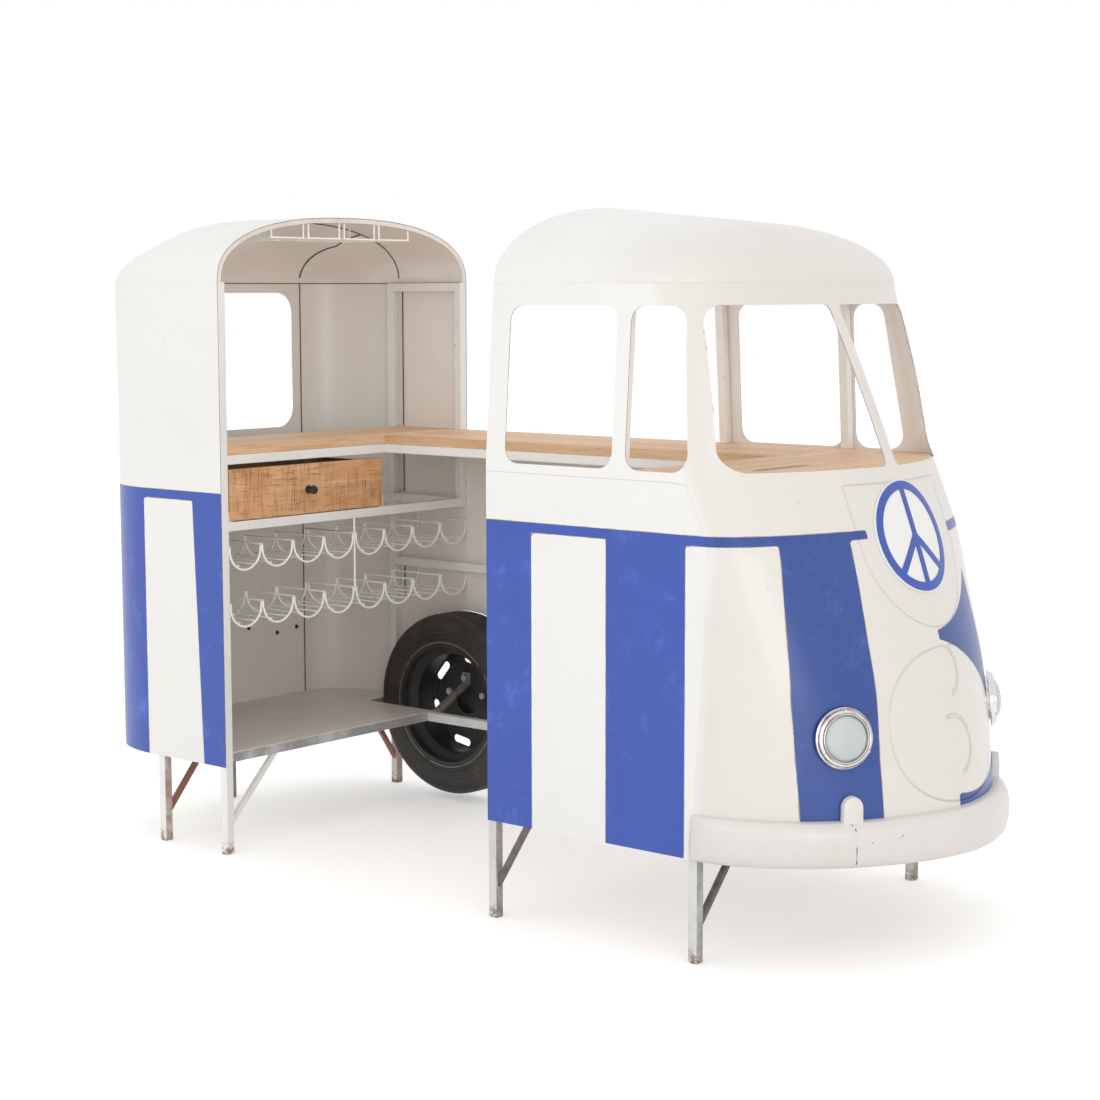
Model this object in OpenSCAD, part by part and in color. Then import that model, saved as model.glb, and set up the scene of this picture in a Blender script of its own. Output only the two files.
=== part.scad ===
// Walk-in bar cabinet shaped like an old camper van: a tail unit with shelves and racks,
// a counter along the customer side, and a cab with a rounded nose.
// X runs along the van towards the nose, the customer side is +Y, and the floor is Z = 0.

/* [Body] */
// Width over the side sheets
body_w = 972; // [940:1:1010]
// Thickness of the body sheets
sheet_t = 2; // [1.5:0.1:3]
// Width of the square frame tube
tube = 25; // [20:1:28]
// Height of the lower edge of the body sheets
skirt_z = 240; // [225:1:250]
// Distance between the open arch of the tail unit and the rear edge of the cab
bar_gap = 937; // [850:1:1050]
// Height of the top face of the base frame
base_top = 276; // [270:1:290]
// Distance of the rail beside the wheel from the customer side
link_in = 180; // [175:1:190]
// Thickness of the leg brace bars
brace_t = 14; // [10:1:18]

/* [Tail unit] */
// Length of the tail unit
tail_len = 540; // [520:1:620]
// Length of the rounded rear corners along the van
corner_len = 239; // [225:1:242]
// Width of the rounded rear corners across the van
corner_w = 160; // [120:1:170]
// Height of the eaves of the tail unit
eaves_z = 1533; // [1510:1:1560]
// Rise of the tail roof above its eaves
roof_rise = 177; // [150:1:200]
// Length of the plain barrel part of the tail roof
barrel_len = 270; // [250:1:280]
// Squareness of the tail roof arch, where 2 is an ellipse
arch_power = 2.4; // [2:0.1:2.8]
// Squareness of the rounded rear corners of the tail roof
dome_power = 1.7; // [1.4:0.1:2.4]
// Distance of the near tail leg behind the open arch
near_leg_x = 252; // [230:1:258]
// Width of the flat sheet left on each side of the rear window
rear_win_side = 34; // [14:1:60]
// Height of the rear window
rear_win_h = 404; // [340:1:410]
// Height of the lower edge of the rear window
rear_win_z = 1101; // [1090:1:1110]
// Corner radius of the rear window
rear_win_r = 60; // [30:1:80]
// Depth of the hoop inside the open arch
hoop_w = 12; // [8:1:16]

/* [Counter] */
// Height of the counter top
counter_z = 1102; // [1095:1:1104]
// Thickness of the counter boards
board_t = 25; // [20:1:30]
// Depth of the long counter board from the customer side
bar_depth = 348; // [300:1:380]
// Distance from the rear edge of the cab to the board that fills the nose
nose_board_in = 398; // [330:1:425]
// Gap between a board's edge and the sheet round it
board_gap = 1; // [0.5:0.5:3]
// Height of the top face of the rail under the drawer
mid_rail_z = 899; // [890:1:902]
// Height of the top face of the rail along the customer side
side_rail_z = 705; // [690:1:720]

/* [Drawer] */
// Width of the drawer front
drawer_w = 579; // [500:1:600]
// Height of the drawer front
drawer_h = 137; // [120:1:140]
// Thickness of the drawer front
drawer_front_t = 20; // [16:1:24]
// Height of the knob above the lower edge of the drawer front
knob_up = 66; // [55:1:90]
// Length of the drawer box behind its front
drawer_len = 380; // [330:1:420]
// Thickness of the drawer box boards
drawer_box_t = 12; // [9:1:15]
// Height of the drawer box sides
drawer_box_h = 128; // [80:1:132]
// Length of the drawer's travel
drawer_travel = 300; // [250:1:320]
// Running clearance round the drawer
drawer_gap = 1.5; // [1:0.5:2]
// Thickness of the folded drawer guides
guide_t = 2; // [1.5:0.5:3]
// Width of the ledge of the drawer guides
guide_w = 14; // [10:1:16]
// Height of the wall of the drawer guides
guide_h = 26; // [20:1:34]
// Clearance between the drawer box and its guides
slide_gap = 0.4; // [0.3:0.1:0.8]
// Diameter of the knob's rose
rose_d = 24; // [20:1:30]
// Diameter of the knob's head
knob_d = 25; // [20:1:30]
// Length of the knob in front of the drawer
knob_len = 27; // [22:1:32]

/* [Wine racks] */
// Diameter of the cradle wire
cradle_wire = 6; // [5:0.5:7]
// Diameter of the long wires
rack_wire = 4.5; // [4:0.5:6]
// Depth of a cradle below its tips
cradle_drop = 65; // [64:1:70]
// Length of the racks
rack_len = 200; // [160:1:220]
// Height of the tips of the upper racks
upper_rack_z = 829; // [820:1:850]

/* [Glass rack] */
// Width of a hanging loop
loop_w = 123; // [110:1:130]
// Gap between two loops, where a glass stem goes
loop_gap = 14; // [10:1:18]
// Distance of the near end of the glass rack from the middle of the van
loop_near_y = 287; // [270:1:295]
// Height of the lower wires of the glass rack above the eaves
loop_up = 117; // [97:1:122]
// Diameter of the glass rack wire
loop_wire = 5; // [4:0.5:6]
// Length of the glass rack
loop_len = 240; // [200:1:245]

/* [Wheel] */
// Outer diameter of the tyre
tyre_d = 540; // [520:1:545]
// Width of the tyre
tyre_w = 131; // [110:1:134]
// Diameter over the rim's flanges
rim_d = 376; // [350:1:390]
// Diameter of the hub hole
hub_d = 80; // [60:1:90]
// Number of slots in the wheel disc
slot_count = 6; // [4:1:8]
// Clearance between the tyre and the floor
tyre_lift = 20; // [5:1:20]
// Distance of the tyre's inner side from the middle of the van
wheel_in_y = 371; // [368:1:376]
// Radius of the wheel arch in the side sheets
wheel_arch_r = 274; // [273:1:290]

/* [Cab] */
// Lean of the cab's sides above the window sills
cab_lean = 30; // [10:1:40]
// Height of the window sills, where the sides start to lean
sill_z = 1106; // [1104:1:1120]
// Height of the upper edge of the windows
win_top = 1475; // [1440:1:1490]
// Height of the cab's eaves
cab_eaves = 1525; // [1510:1:1540]
// Rise of the cab roof above its eaves
cab_rise = 188; // [160:1:200]
// Fall of the cab roof towards the nose, per millimetre
roof_fall = 0.1; // [0:0.01:0.12]
// Distance from the rear edge of the cab to the tip of the nose
nose_reach = 1037; // [1000:1:1060]
// Distance that the nose leans back at the height of the window sills
nose_rake = 219; // [180:1:240]
// Bend of the nose's lean
rake_power = 1.588; // [1.4:0.01:1.8]
// Distance of the first side window from the rear edge of the cab
win1_x = 58; // [45:1:60]
// Width of the first side window
win1_w = 320; // [280:1:330]
// Distance of the second side window behind the end of the flat side at the sills
win2_in = 11; // [8:1:40]
// How much the far second window narrows towards its top
far_win_lean = 58; // [0:1:65]
// Width of the post between the side windows
win_post = 38; // [35:1:60]
// Corner radius of the side windows
win_r = 38; // [20:1:50]
// Width of the pillar in the middle of the windscreen
pillar_w = 40; // [35:1:60]
// Distance of the windscreen openings from the outer side of the cab at the sills
screen_side = 38; // [36:1:60]
// How much narrower the far windscreen opening is
far_screen_in = 14; // [0:1:20]
// Corner radius of the windscreen openings beside the cab's sides
screen_r = 50; // [30:1:70]
// Corner radius of the windscreen openings beside the middle pillar
screen_in_r = 16; // [8:1:50]
// Distance of the front cab legs behind the end of the flat sides at the skirt
front_leg_in = 6; // [3:1:30]

/* [Nose fittings] */
// Height of the bumper
bumper_h = 105; // [90:1:115]
// Reach of the bumper beyond the nose
bumper_out = 42; // [24:1:48]
// Wall of the bumper
bumper_t = 3; // [2:0.5:4]
// Width of an overrider
overrider_w = 56; // [48:1:64]
// Distance of the overriders from the middle of the van
overrider_y = 313; // [290:1:325]
// Height of an overrider above the bumper
overrider_h = 58; // [45:1:70]
// Diameter of the round emblem
emblem_d = 270; // [240:1:290]
// Height of the middle of the emblem
emblem_z = 948; // [930:1:960]
// Thickness of the emblem plate
emblem_t = 4; // [3:0.5:6]
// Width of the emblem's strokes
emblem_stroke = 20; // [16:1:26]
// Distance of the headlights from the middle of the van
lamp_y = 319; // [290:1:325]
// Height of the headlights
lamp_z = 528; // [500:1:560]
// Outer diameter of the headlight rings
lamp_d = 138; // [124:1:150]
// Diameter of the headlight glass
glass_d = 96; // [84:1:104]
// Thickness of the headlight glass
glass_t = 4; // [3:0.5:5]

/* [Hidden] */
half = body_w / 2;
in_y = half - sheet_t;
rear_win_w = body_w - 2 * corner_w - 2 * rear_win_side;
cab_x = bar_gap;
nose_board_x = cab_x + nose_board_in;
nose_x = cab_x + nose_reach;
wheel_out_y = wheel_in_y + tyre_w;
board_z = counter_z - board_t;
base_z = base_top - tube;
near_leg_in = near_leg_x + tube;
far_leg_x = tail_len - corner_len - tube - 1;
far_leg_in = far_leg_x + tube;
link_y = half - link_in;
wheel_z = tyre_d / 2 + tyre_lift;
drawer_y = -in_y + tube + guide_t + drawer_gap;
drawer_z = mid_rail_z + guide_t + slide_gap;
touch_gap = 0.2;
roof_gap = 0.6;
dome_blend = 150;
low_wire_a = 32;
cradle_pitch = (2 * in_y - tube - cradle_wire) / 8;
cradle_r = (cradle_pitch - touch_gap - cradle_wire) / 2;
cradle_arm = cradle_drop - cradle_r - cradle_wire / 2;
rack_start = tube - in_y;
lower_rack_z = side_rail_z - tube - rack_wire - 2 * touch_gap;
rack_middle = rack_start + 4 * cradle_pitch + cradle_wire;
hanger_tail = 8;
loop_start = -loop_near_y;
loop_z = eaves_z + loop_up;
wheel_x = 8;
tyre_r = tyre_d / 2;
wall_r = tyre_r - 46;
across = tyre_w / 120;
rim_r = rim_d / 2;
bead_r = rim_r - 12;
well_r = bead_r - 24;
rim_t = 4;
disc_t = 5;
disc_y = 99;
hub_deep = 26;
disc_r = 142;
slot_r = 126;
slot_w = 24;
slot_len = 44;
slot_a = 40;
nut_r = 70;
nut_d = 22;
nut_h = 11;
bracket_t = 6;
bracket_w = 30;
leg_inset = 2;
screen_low = sill_z - 20;
brace_rise = 175;
win_depth = 100;
bumper_side = 18;
bumper_end_a = 7;
overrider_t = 20;
overrider_a = 36;
nose_clear = 3;
lamp_a = 32;
lamp_tilt = 6;
lamp_seat = 10;
bowl_r = glass_d / 2 + 5;
bowl_t = 2;
bowl_deep = 50;
bulb_r = 10;
bulb_len = 36;
lip_t = 3;
glass_rise = 24;
ring_t = 10;
ring_back = 5;
screw_r = lamp_d / 2 - 8;
emblem_tilt = 19.5;

// Heights of the rows of points, and the plan of the nose at some of them. The flat sides end
// at these shares of the cab's length from its rear edge.
flat_shares = [[skirt_z, 0.58148], [640, 0.61042], [932, 0.6297],
    [sill_z, 0.55256], [win_top, 0.47541], [cab_eaves, 0.44648]];
flat_ends = [for (f = flat_shares) [f[0], nose_reach * f[1]]];
plan_powers = [[skirt_z, 1.8], [640, 1.92], [932, 1.7],
    [sill_z, 1.68], [win_top, 2.4], [cab_eaves, 2.3]];
nose_rows = [skirt_z, skirt_z + bumper_h, 440, 540, 640, 740, 840, 932, 1000, 1060, screen_low];
screen_rows = [screen_low, sill_z, 1180, 1260, 1340, 1410, win_top, cab_eaves];
cab_front = flat_end(skirt_z) - front_leg_in;
front_post_x = cab_front - 2 * tube;
win2_w = flat_end(sill_z) - win2_in - cab_x - win1_x - win1_w - win_post;
screen_w = half - pillar_w / 2 - screen_side;
bumper_points = [for (r = bumper_rows(0)) each r];
bumper_y = max([for (p = bumper_points) p[1]]);
mid_x = (max([for (p = bumper_points) p[0]]) - tail_len) / 2;
mid_y = (max(wheel_out_y, bumper_y) - bumper_y) / 2;
white = "#f0eeea";
blue = "#3550b0";
wood = "#c9935a";
steel = "#8d8d8b";
black = "#222222";

// Puts a part in the frame whose origin is under the middle of the whole bar
module place() {
    translate([-mid_x, -mid_y, 0]) children();
}

// A bar of square tube between two corners, given as its low and high ends
module bar(low, high) {
    translate(low) cube(high - low);
}

// A rectangle with round corners, standing on its lower left corner
module round_rect(w, h, r) {
    translate([r, 0]) square([w - 2 * r, h]);
    translate([0, r]) square([w, h - 2 * r]);
    for (x = [r, w - r], y = [r, h - r]) translate([x, y]) circle(r, $fn = 48);
}

// A straight-sided outline with its corners rounded
module round_shape(points, r) offset(r = r, $fn = 48) offset(delta = -r) polygon(points);

// A signed power, for outlines that lie between an ellipse and a rectangle
function bend(v, p) = sign(v) * pow(abs(v), p);

// A closed sheet between an outer and an inner grid of points. Its columns run from left to
// right as seen from outside and its rows run upwards; past the fold, the top row is one point.
module skin(outer, inner, fold = 1000) {
    m = len(outer) - 1;
    n = len(outer[0]) - 1;
    k = (m + 1) * (n + 1);
    function at(j, i) = j * (n + 1) + (j == m ? min(i, fold) : i);
    front = [for (j = [0:m - 1], i = [0:n - 1]) each [
        [at(j, i), at(j + 1, i), at(j, i + 1)],
        [at(j, i + 1), at(j + 1, i), at(j + 1, i + 1)]]];
    back = [for (f = front) [k + f[0], k + f[2], k + f[1]]];
    low = [for (i = [0:n - 1]) each [
        [at(0, i), at(0, i + 1), k + at(0, i)],
        [at(0, i + 1), k + at(0, i + 1), k + at(0, i)]]];
    high = [for (i = [0:n - 1]) each [
        [at(m, i + 1), at(m, i), k + at(m, i)],
        [k + at(m, i), k + at(m, i + 1), at(m, i + 1)]]];
    left = [for (j = [0:m - 1]) each [
        [at(j + 1, 0), at(j, 0), k + at(j, 0)],
        [at(j + 1, 0), k + at(j, 0), k + at(j + 1, 0)]]];
    right = [for (j = [0:m - 1]) each [
        [at(j, n), at(j + 1, n), k + at(j, n)],
        [at(j + 1, n), k + at(j + 1, n), k + at(j, n)]]];
    faces = [for (f = concat(front, back, low, high, left, right))
        if (f[0] != f[1] && f[1] != f[2] && f[0] != f[2]) f];
    polyhedron(concat([for (r = outer) each r], [for (r = inner) each r]), faces);
}

// Frame of the tail unit

module tail_posts() color(white) place() {
    bar([-tube, -in_y, 0], [0, -in_y + tube, eaves_z]);
    bar([-tube, in_y - tube, mid_rail_z - tube], [0, in_y, eaves_z]);
    bar([-near_leg_in, -in_y, 0], [-near_leg_x, -in_y + tube, eaves_z]);
    bar([-far_leg_in, in_y - tube, 0], [-far_leg_x, in_y, eaves_z]);
}

module rear_leg() color(steel) place()
    bar([-tail_len + sheet_t, -tube / 2, 0], [-tail_len + sheet_t + tube, tube / 2, base_top]);

module tail_top_rails() color(white) place() {
    bar([-near_leg_x, -in_y, eaves_z - tube], [-tube, -in_y + tube, eaves_z]);
    bar([-far_leg_x, in_y - tube, eaves_z - tube], [-tube, in_y, eaves_z]);
}

// The last bar carries the shelf beside the wheel and runs on into the cab
module base_rails() color(white) place() {
    bar([-tube, -in_y + tube, base_z], [0, link_y, base_top]);
    bar([-near_leg_x, -in_y, base_z], [-tube, -in_y + tube, base_top]);
    bar([-near_leg_in, -in_y + tube, base_z], [-near_leg_x, link_y, base_top]);
    bar([-tail_len + sheet_t + tube, -tube / 2, base_z], [-near_leg_in, tube / 2, base_top]);
    bar([-far_leg_in, link_y, base_z], [cab_x, link_y + tube, base_top]);
    bar([-far_leg_in, link_y + tube, base_z], [-far_leg_x, in_y - tube, base_top]);
}

// Ring of rails that carries the drawer
module mid_rail() color(white) place() {
    z = mid_rail_z - tube;
    bar([-tube, -in_y + tube, z], [0, in_y - tube, mid_rail_z]);
    bar([-near_leg_in, -in_y + tube, z], [-near_leg_x, in_y - tube, mid_rail_z]);
    bar([-near_leg_x, -in_y, z], [-tube, -in_y + tube, mid_rail_z]);
    bar([-far_leg_x, in_y - tube, z], [-tube, in_y, mid_rail_z]);
}

module tail_counter_rails() color(white) place() {
    bar([-tube, -in_y + tube, board_z - tube], [0, half - bar_depth, board_z]);
    bar([-near_leg_x, -in_y, board_z - tube], [-tube, -in_y + tube, board_z]);
    bar([-near_leg_in, -in_y + tube, board_z - tube],
        [-near_leg_x, half - bar_depth, board_z]);
}

module bar_counter_rails() color(white) place() {
    bar([-near_leg_in, half - bar_depth, board_z - tube],
        [nose_board_x, half - bar_depth + tube, board_z]);
    bar([0, in_y - tube, board_z - tube], [cab_x, in_y, board_z]);
    bar([-far_leg_x, in_y - tube, board_z - tube], [-tube, in_y, board_z]);
    bar([-tube, half - bar_depth + tube, board_z - tube], [0, in_y - tube, board_z]);
}

module side_rail() color(white) place()
    bar([-far_leg_x, in_y - tube, side_rail_z - tube], [cab_x, in_y, side_rail_z]);

// Plan of one rounded rear corner on the near side, a distance d inside its outer face
function corner_arc(d, n = 20) = [for (i = [0:n]) let (a = 90 * i / n)
    [corner_len - tail_len - (corner_len - d) * sin(a),
     corner_w - half - (corner_w - d) * cos(a)]];

function reversed(list) = [for (i = [len(list) - 1:-1:0]) list[i]];

// Plan of the inside of the tail unit, a distance d inside the outer face
function tail_plan(d) = concat([[0, d - half]], corner_arc(d),
    [for (p = reversed(corner_arc(d))) [p[0], -p[1]]], [[0, half - d]]);

// Shelf of the tail unit, cut out round the wheel and the posts
module shelf_sheet() color(white) place() translate([0, 0, base_top]) difference() {
    linear_extrude(sheet_t) polygon(tail_plan(sheet_t));
    bar([-far_leg_x, link_y + tube, -1], [1, half, sheet_t + 1]);
    bar([-far_leg_in, in_y - tube, -1], [-far_leg_x + 1, half, sheet_t + 1]);
    bar([-tube, -half, -1], [1, tube - in_y, sheet_t + 1]);
    bar([-near_leg_in, -half, -1], [-near_leg_x, tube - in_y, sheet_t + 1]);
}

module corner_sheet() linear_extrude(eaves_z - skirt_z)
    polygon(concat([[0, -half]], corner_arc(0), reversed(corner_arc(sheet_t)), [[0, -in_y]]));

module wheel_arch() translate([wheel_x, half + 1, wheel_z]) rotate([90, 0, 0])
    cylinder(h = sheet_t + 2, r = wheel_arch_r, $fn = 96);

module tail_near_sheet() color(white) place() translate([0, 0, skirt_z]) corner_sheet();

module tail_far_sheet() color(white) place() difference() {
    translate([0, 0, skirt_z]) mirror([0, 1, 0]) corner_sheet();
    wheel_arch();
}

module tail_rear_sheet() color(white) place() difference() {
    bar([-tail_len, corner_w - half, skirt_z], [-tail_len + sheet_t, half - corner_w, eaves_z]);
    translate([-tail_len - 1, -rear_win_w / 2, rear_win_z]) rotate([90, 0, 90])
        linear_extrude(sheet_t + 2) round_rect(rear_win_w, rear_win_h, rear_win_r);
}

// Roof of the tail unit

// Cross-section of the tail roof, a distance d inside its outer face
function arch(d, n = 36) = [for (i = [0:n]) let (a = 180 * i / n)
    [-(half - d) * bend(cos(a), 2 / arch_power), (roof_rise - d) * bend(sin(a), 2 / arch_power)]];

module arch_strip(outer_d, inner_d, length)
    translate([0, 0, eaves_z]) rotate([90, 0, 90])
        linear_extrude(length) polygon(concat(arch(outer_d), reversed(arch(inner_d))));

module tail_roof() color(white) place()
    translate([-barrel_len, 0, 0]) arch_strip(0, sheet_t, barrel_len);

module roof_hoop() color(white) place()
    translate([-hoop_w, 0, 0]) arch_strip(sheet_t, sheet_t + hoop_w, hoop_w);

// Rows of the rounded rear roof above a rim: each row is the rim drawn in and lifted, squarely
// beside the barrel and rounder behind it
function rim_power(x) = arch_power + (dome_power - arch_power)
    * max(0, min(1, (-barrel_len - x) / dome_blend));
function dome_rows(rim, rise, n = 12) = [for (j = [0:n]) let (a = 90 * j / n) [for (p = rim)
    let (q = 2 / rim_power(p[0]), c = pow(cos(a), q))
        [-barrel_len + (p[0] + barrel_len) * c, p[1] * c, eaves_z + rise * pow(sin(a), q)]]];

module dome_sheet(outer_rim, inner_rim)
    skin(dome_rows(outer_rim, roof_rise), dome_rows(inner_rim, roof_rise - sheet_t), 0);

function gore_rim(d) = reversed(concat([[-barrel_len, d - half]], corner_arc(d, 12)));

function rear_rim(d, n = 8) = [for (i = [0:n])
    [d - tail_len, (half - corner_w) * (1 - 2 * i / n)]];

module near_roof_gore() color(white) place() dome_sheet(gore_rim(0), gore_rim(sheet_t));

module far_roof_gore() color(white) place() mirror([0, 1, 0])
    dome_sheet(gore_rim(0), gore_rim(sheet_t));

module rear_roof_sheet() color(white) place() dome_sheet(rear_rim(0), rear_rim(sheet_t));

// Customer side between the two units

module bar_side_sheet() color(white) place() difference() {
    bar([0, in_y, skirt_z], [cab_x, half, board_z]);
    wheel_arch();
}

// Counter boards

module tail_counter() color(wood) place() translate([0, 0, board_z]) difference() {
    bar([-near_leg_in, sheet_t + board_gap - half, 0], [0, in_y - board_gap, board_t]);
    bar([-tube - board_gap, -half, -1], [1, tube - in_y + board_gap, board_t + 1]);
    bar([-tube - board_gap, in_y - tube - board_gap, -1], [1, half, board_t + 1]);
    bar([-near_leg_in - 1, -half, -1],
        [-near_leg_x + board_gap, tube - in_y + board_gap, board_t + 1]);
    bar([-far_leg_in - 1, in_y - tube - board_gap, -1],
        [-far_leg_x + board_gap, half, board_t + 1]);
}

module bar_counter() color(wood) place() translate([0, 0, board_z])
    bar([0, half - bar_depth, 0], [nose_board_x, in_y - board_gap, board_t]);

// Board across the nose, following the nose sheet a little inside it
module nose_counter() color(wood) place() translate([0, 0, board_z])
    linear_extrude(board_t) polygon(concat(
        [[nose_board_x, sheet_t + board_gap - half]],
        [for (p = nose_row(counter_z, sheet_t + board_gap)) [p[0], p[1]]],
        [[nose_board_x, half - sheet_t - board_gap]]));

// Drawer

module drawer_front() color(wood) place()
    bar([-drawer_front_t, drawer_y, drawer_z], [0, drawer_y + drawer_w, drawer_z + drawer_h]);

// Four boards and a bottom let in between them
module drawer_box() color(wood) place() {
    y0 = drawer_y;
    y1 = drawer_y + drawer_w;
    x0 = -drawer_front_t - drawer_len;
    z1 = drawer_z + drawer_box_h;
    t = drawer_box_t;
    bar([x0, y0, drawer_z], [-drawer_front_t, y0 + t, z1]);
    bar([x0, y1 - t, drawer_z], [-drawer_front_t, y1, z1]);
    bar([x0, y0 + t, drawer_z], [x0 + t, y1 - t, z1]);
    bar([x0 + t, y0 + t, drawer_z], [-drawer_front_t, y1 - t, drawer_z + t / 2]);
}

module drawer_knob() color(black) place()
    translate([0, drawer_y + drawer_w / 2, drawer_z + knob_up])
        rotate([0, 90, 0]) rotate_extrude($fn = 48) polygon([[0, 0], [rose_d / 2, 0],
            [rose_d / 2 - 1, 3], [rose_d / 4 + 1, 4], [rose_d / 4 - 1, knob_len - 14],
            [knob_d / 2 - 2, knob_len - 11], [knob_d / 2, knob_len - 7],
            [knob_d / 2 - 1, knob_len - 2], [knob_d / 2 - 4, knob_len], [0, knob_len]]);

// Folded strips that stand on the rails and carry the drawer box under its sides
module drawer_guides() color(white) place() {
    for (s = [0, 1]) {
        wall = s == 0 ? drawer_y - drawer_gap - guide_t : drawer_y + drawer_w + drawer_gap;
        ledge = s == 0 ? wall : wall + guide_t - guide_w;
        bar([-near_leg_in, wall, mid_rail_z], [0, wall + guide_t, mid_rail_z + guide_h]);
        difference() {
            bar([-near_leg_in, ledge, mid_rail_z], [0, ledge + guide_w, drawer_z - slide_gap]);
            bar([-near_leg_in - 1, wall, mid_rail_z - 1], [1, wall + guide_t, drawer_z]);
        }
    }
}

// Wine racks

// One bent cradle wire hanging from its two tips, in the plane X = 0
module cradle() {
    translate([0, 0, -cradle_arm]) rotate([90, 180, 90]) rotate_extrude(angle = 180, $fn = 48)
        translate([cradle_r, 0]) circle(d = cradle_wire, $fn = 16);
    for (s = [-cradle_r, cradle_r]) translate([0, s, -cradle_arm])
        cylinder(h = cradle_arm, d = cradle_wire, $fn = 16);
}

module long_wire(y, z) translate([0, y, z]) rotate([0, -90, 0])
    cylinder(h = rack_len, d = rack_wire, $fn = 16);

// Four cradles in front and four behind, joined by long wires over their tips and in their bends
module rack(start, tip_z) color(white) place() {
    reach = cradle_r - (cradle_wire + rack_wire) / 2 - touch_gap;
    for (i = [0:3]) translate([0, start + (i + 0.5) * cradle_pitch, tip_z]) {
        for (x = [-cradle_wire / 2, cradle_wire / 2 - rack_len]) translate([x, 0, 0]) cradle();
        for (a = [-low_wire_a, low_wire_a])
            long_wire(reach * sin(a), -cradle_arm - reach * cos(a));
    }
    for (i = [0:4]) {
        inset = i == 0 ? 1 : i == 4 ? -1 : 0;
        long_wire(start + i * cradle_pitch + inset * (cradle_wire + touch_gap) / 2,
            tip_z + rack_wire / 2 + touch_gap);
    }
}

module upper_near_rack() rack(rack_start, upper_rack_z);

module upper_far_rack() rack(rack_middle, upper_rack_z);

module lower_near_rack() rack(rack_start, lower_rack_z);

module lower_far_rack() rack(rack_middle, lower_rack_z);

// Upright wire between the racks, welded under the mid rail
module rack_hanger() color(white) place()
    translate([-cradle_wire / 2, rack_middle - cradle_wire / 2, lower_rack_z - hanger_tail])
        cylinder(h = mid_rail_z - tube - lower_rack_z + hanger_tail, d = cradle_wire, $fn = 24);

// Glass rack

// Height over a point y of a roof arch that lies a distance d inside the outer face
function arch_z(y, d) = eaves_z + (roof_rise - d)
    * pow(1 - pow(abs(y) / (half - d), arch_power), 1 / arch_power);

// Four loops hang from the hoop, and their long wires run back to a cross wire
module glass_rack() color(white) place() {
    pitch = loop_w + loop_gap;
    front = -hoop_w / 2;
    r = loop_wire / 2;
    for (i = [0:3]) {
        y0 = loop_start + i * pitch;
        for (y = [y0 + r, y0 + loop_w - r]) {
            translate([front, y, loop_z]) cylinder(d = loop_wire, $fn = 16,
                h = arch_z(abs(y) + r, sheet_t + hoop_w) - loop_z - roof_gap);
            translate([front - r - touch_gap, y, loop_z + r]) rotate([0, -90, 0])
                cylinder(h = loop_len + front - 2 * r - 2 * touch_gap, d = loop_wire, $fn = 16);
        }
        translate([front, y0 + loop_wire + touch_gap, loop_z + r]) rotate([-90, 0, 0])
            cylinder(h = loop_w - 2 * loop_wire - 2 * touch_gap, d = loop_wire, $fn = 16);
    }
    reach = (half - sheet_t) * pow(1 - pow((loop_z + loop_wire - eaves_z)
        / (roof_rise - sheet_t), arch_power), 1 / arch_power) - roof_gap - 1;
    last = loop_start + 4 * pitch - loop_gap;
    translate([-loop_len, -reach, loop_z + r]) rotate([-90, 0, 0])
        cylinder(h = reach + last, d = loop_wire, $fn = 16);
    translate([-loop_len, last - r, loop_z + loop_wire + touch_gap]) cylinder(d = loop_wire,
        h = arch_z(last, sheet_t) - loop_z - loop_wire - touch_gap - roof_gap, $fn = 16);
}

// Wheel

module on_axle() translate([wheel_x, wheel_in_y, wheel_z]) rotate([-90, 0, 0]) children();

// Hollow tyre whose beads sit on the rim
module tyre() color(black) place() on_axle() rotate_extrude($fn = 120) polygon([
    [bead_r, 8], [wall_r, 0], [tyre_r - 18, 2], [tyre_r - 5, 10], [tyre_r, 24],
    [tyre_r, tyre_w - 24], [tyre_r - 5, tyre_w - 10], [tyre_r - 18, tyre_w - 2],
    [wall_r, tyre_w], [bead_r, tyre_w - 8], [bead_r, tyre_w - 20],
    [wall_r, tyre_w - 10], [tyre_r - 22, tyre_w - 14], [tyre_r - 12, tyre_w - 28],
    [tyre_r - 12, 28], [tyre_r - 22, 14], [wall_r, 10], [bead_r, 20]]);

module wheel_rim() color(black) place() on_axle() {
    wheel_disc();
    rotate_extrude($fn = 60) polygon([[hub_d / 2, disc_y + 1], [hub_d / 2 + 3, disc_y + 1],
        [hub_d / 2 + 3, disc_y + hub_deep], [0, disc_y + hub_deep],
        [0, disc_y + hub_deep - 3], [hub_d / 2, disc_y + hub_deep - 3]]);
}

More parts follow.
